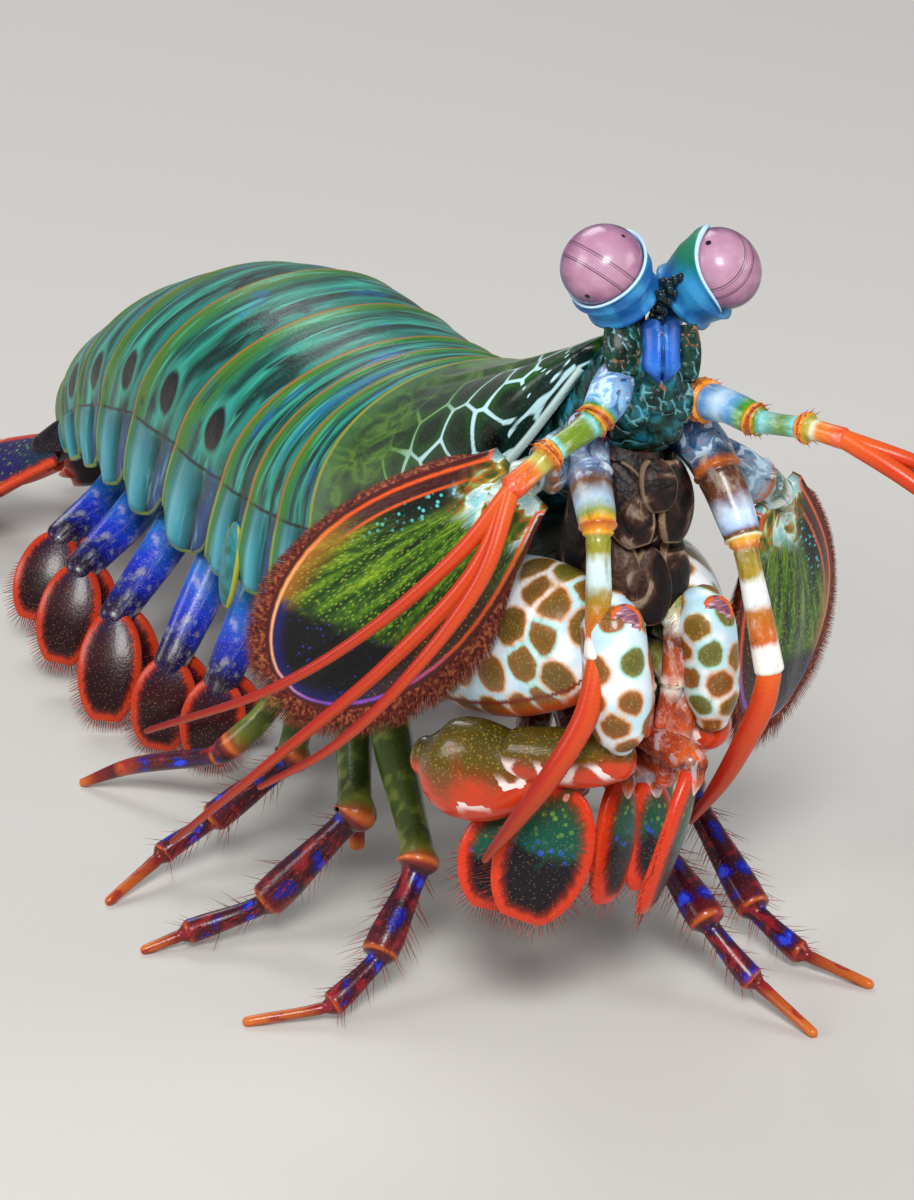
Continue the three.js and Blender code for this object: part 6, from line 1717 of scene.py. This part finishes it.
# Each pair's y at the root, then the right one's knee and tip.
SWIMMERETS = [
    (61, (0.2, 60.6, 11), (-1.6, 60.4, 1.8)), (73, (-2.4, 68.6, 10.8), (-4.6, 67.6, 1.2)),
    (87, (-4.2, 81, 12), (-7.4, 76.8, 1.4)),
    (100.5, (-3.8, 93.6, 13), (-8, 90.6, 3.2)), (113, (-2, 105.4, 12.6), (-7.2, 102.4, 4)),
]
SWIM_STEM = banded_paint("swimmeret stem", [
    (0.0, "07202a"), (0.25, "14566e"), (0.42, "3a94b4"), (0.58, "1f6ac0"), (0.78, "1630b8"), (0.92, "100f58"),
    (1.0, "220c28")], 0.1)
SWIM_PADDLE = paddle_paint("swimmeret paddle", "140c38", "30080e", "200408", "b4300f", 0.6, 0.0)
LEFT_BEHIND = 1.5


def make_swimmeret(number, side):
    """A stem and two fringed leaves. The left ones mirror the right ones and hang a little farther back."""
    y, knee, tip = SWIMMERETS[number - 1]
    x, top, half, dome, belly = trunk_at(y)[:5]
    under = top - dome - belly
    out = -1 if side == "right" else 1
    knee, tip = vec(knee), vec(tip)
    if side == "left":
        knee, tip = (vec([2 * x - p[0], p[1] + LEFT_BEHIND, p[2]]) for p in (knee, tip))
    facing = (out * 0.5, -0.85, 0.2)
    outer = Plate(knee + [0, 0, 0.6], tip, 3.6, 1.2, facing, oval, 0.8, thin=0.3)
    inner = Plate(knee + [-out * 1.2, 0.8, 0.4], tip + [-out * 5.6, 3.4, 0.8], 3.2, 1.2, facing, oval, 0.6, thin=0.3)
    form = Form().tube([(x + out * half * 0.5, y, under + 1.6, 2.4, 0.7),
                        (x + out * half * 0.78, y - 1.4, under - 4.4, 2.5, 0.62),
                        (*knee, 1.9, 0.6)], 26, 0.4, side=(0.5 * out, -0.8, 0), ends=(0.4, 0.9))
    form.blade(outer, 30, 18, 1).blade(inner, 30, 18, 1)
    name = f"swimmeret_{number}_{side}"
    form.make(name + "_shell", [SWIM_STEM, SWIM_PADDLE], (name,), "swimmeret")
    grow_fringes(name + "_bristles", ((outer, 3), (inner, 4)), lambda s, u: 1.5 * float(ease(u, 0.3, 0.7)),
                 0.3, 0.2, 0.12, 0.2, 0.14, 0.07)


# Tail fan

TAIL_ROOT = vec([19.8, 130, 18.4])
TAIL_TIP = vec([19.8, 149.5, 2.4])
FAN = paddle_paint("tail fan", "102c3c", "1c1450", "0c0414", "c43a14", 0.75, 0.4)


def tongue(u):
    return max(0.2, math.sqrt(1 - max(0, (u - 0.55) / 0.46) ** 2) * (0.55 + 0.45 * min(1, u / 0.4)))


def telson_width(u):
    return 0.86 + 0.14 * math.sin(math.pi * min(1, u * 1.3)) - 0.3 * max(0, u - 0.7) / 0.3


def make_tail():
    """The telson with five ridges and six spines, and beside it the two uropods with their fringed blades."""
    facing = (0, 0.62, 0.78)
    plate = Plate(TAIL_ROOT, TAIL_TIP, 9.8, 5, facing, telson_width, 1.6, thin=0.2)
    form = Form().blade(plate, 40, 40)
    back = TAIL_TIP - TAIL_ROOT
    way, rise = unit(back), plate.normal
    for offset in (-6.6, -3.5, 0, 3.5, 6.6):
        start = TAIL_ROOT + way * 3 + rise * 2.2 + [offset, 0, 0]
        bulge = start + way * 9 + rise * (2 - abs(offset) * 0.1)
        end = start + way * (17 - abs(offset) * 0.5) - rise * 0.2
        form.tube([(*start, 0.7), (*bulge, 1.2), (*end, 0.4)], 16, 0.5, rim=3.0)
    for offset in (-6.6, -4, -1.5, 1.5, 4, 6.6):
        foot = TAIL_ROOT + back * (0.94 - abs(offset) * 0.01) + [offset, 0, 0] - way * 1.2
        point = foot + unit([offset * 0.03, 1, -0.5]) * (4.6 - abs(offset) * 0.12)
        form.tube([(*foot, 1.1, 1), (*((foot + point) / 2), 0.75, 1), (*point, 0.12, 1)], 12, 0.3, rim=0.2)
    form.make("telson_shell", FAN, ("telson",), "tail_fan")
    for side in SIDES:
        out = -1 if side == "right" else 1

        def at(aside, y, z):
            return vec([TAIL_ROOT[0] + out * aside, y, z])

        facing = (out * 0.5, -0.1, 0.85)
        outer = Plate(at(13.4, 130.4, 14.4), at(28, 144.6, 4.6), 5.4, 1.3, facing, tongue, 0.6)
        inner = Plate(at(13.6, 132, 12.6), at(20, 150, 2), 4, 1.2, facing, tongue, 0.5)
        form = Form().tube([(*at(8, 126, 18), 2.2, 0.8), (*at(12, 129.2, 16.2), 2.5, 0.8),
                            (*at(14.6, 132.6, 13.4), 2.2, 0.8)],
                           28, 0.4, rim=3.0)
        form.blade(outer, 30, 16).blade(inner, 30, 16)
        for root, along, reach, width in ((at(13.2, 132.2, 11.6), (out * 0.16, 0.86, -0.5), 13, 1.0),
                                          (at(15.6, 132.4, 12), (out * 0.5, 0.76, -0.42), 10, 0.9)):
            tip = root + unit(along) * reach
            form.tube([(*root, width), (*(root * 0.5 + tip * 0.5), width * 0.7), (*tip, 0.1)], 14, 0.4, rim=0.5)
        form.make("uropod_shell_" + side, FAN, ("uropod_" + side,), "tail_fan")
        grow_fringes("uropod_bristles_" + side, ((outer, 7), (inner, 8)), lambda s, u: 2.6 * float(ease(u, 0.3, 0.6)),
                     0.22, 0.25, 0.06, 0.15, 0.18, 0.08)


make_flank_leaves()
for i in range(len(SOMITES)):
    make_somite(i)
make_carapace()
make_head()
for side in SIDES:
    make_eye(side)
for side in SIDES:
    make_feelers(side)
    make_scale(side)
    make_claw(side)
for name in PADDLE_LIMBS:
    make_paddle_limb(name)
make_mouth()
for name in LEGS:
    make_leg(name)
for number in range(1, 6):
    for side in SIDES:
        make_swimmeret(number, side)
make_tail()


# Camera, floor and light

# Each lamp's place in metres, watts and width.
LAMPS = {
    "key": ((-0.3, -0.7, 0.7), 9.0, 0.3),
    "fill": ((0.75, -0.55, 0.4), 2.6, 0.4),
    "rim": ((0.1, 0.8, 0.8), 4.0, 0.5),
    "side": ((-0.9, 0.1, 0.5), 3.5, 0.4),
}
LIT_POINT = (0, 0, 0.03)
SKY = (0.86, 0.9, 1.0, 1.0)
SKY_STRENGTH = 0.24
FLOOR = [(-4, -4, 0), (4, -4, 0), (4, 4, 0), (-4, 4, 0)]


def studio():
    """The photo's camera, a plain floor, a dim sky and four soft lamps."""
    ahead = vec([-math.sin(VIEW_TURN), math.cos(VIEW_TURN), 0])
    camera = bpy.data.cameras.new("camera")
    camera.sensor_fit = "VERTICAL"
    camera.sensor_height = FRAME_HIGH
    camera.lens = LENS
    camera.clip_start = 0.01
    camera.clip_end = 20.0
    holder = placed("camera", camera)
    holder.location = (-ahead * CAMERA_BACK + vec([0, 0, CAMERA_HIGH]) + SHIFT * [1, 1, 0]) * MM
    holder.rotation_euler = (math.pi / 2 - VIEW_FALL, 0, VIEW_TURN)
    scene = bpy.context.scene
    scene.camera = holder
    mesh = bpy.data.meshes.new("floor")
    mesh.from_pydata(FLOOR, [], [(0, 1, 2, 3)])
    mesh.materials.append(Paint("floor").finish("c9c6c0", 0.75))
    floor = placed("floor", mesh)
    world = bpy.data.worlds.new("studio")
    world.use_nodes = True
    background = world.node_tree.nodes["Background"]
    background.inputs[0].default_value = SKY
    background.inputs[1].default_value = SKY_STRENGTH
    scene.world = world
    scene.view_settings.view_transform = "Standard"
    for name, (place, energy, size) in LAMPS.items():
        light = bpy.data.lights.new(name, "AREA")
        light.energy = energy
        light.size = size
        lamp = placed(name, light)
        lamp.location = place
        way = Vector(LIT_POINT) - Vector(place)
        lamp.rotation_euler = way.to_track_quat("-Z", "Y").to_euler()


studio()
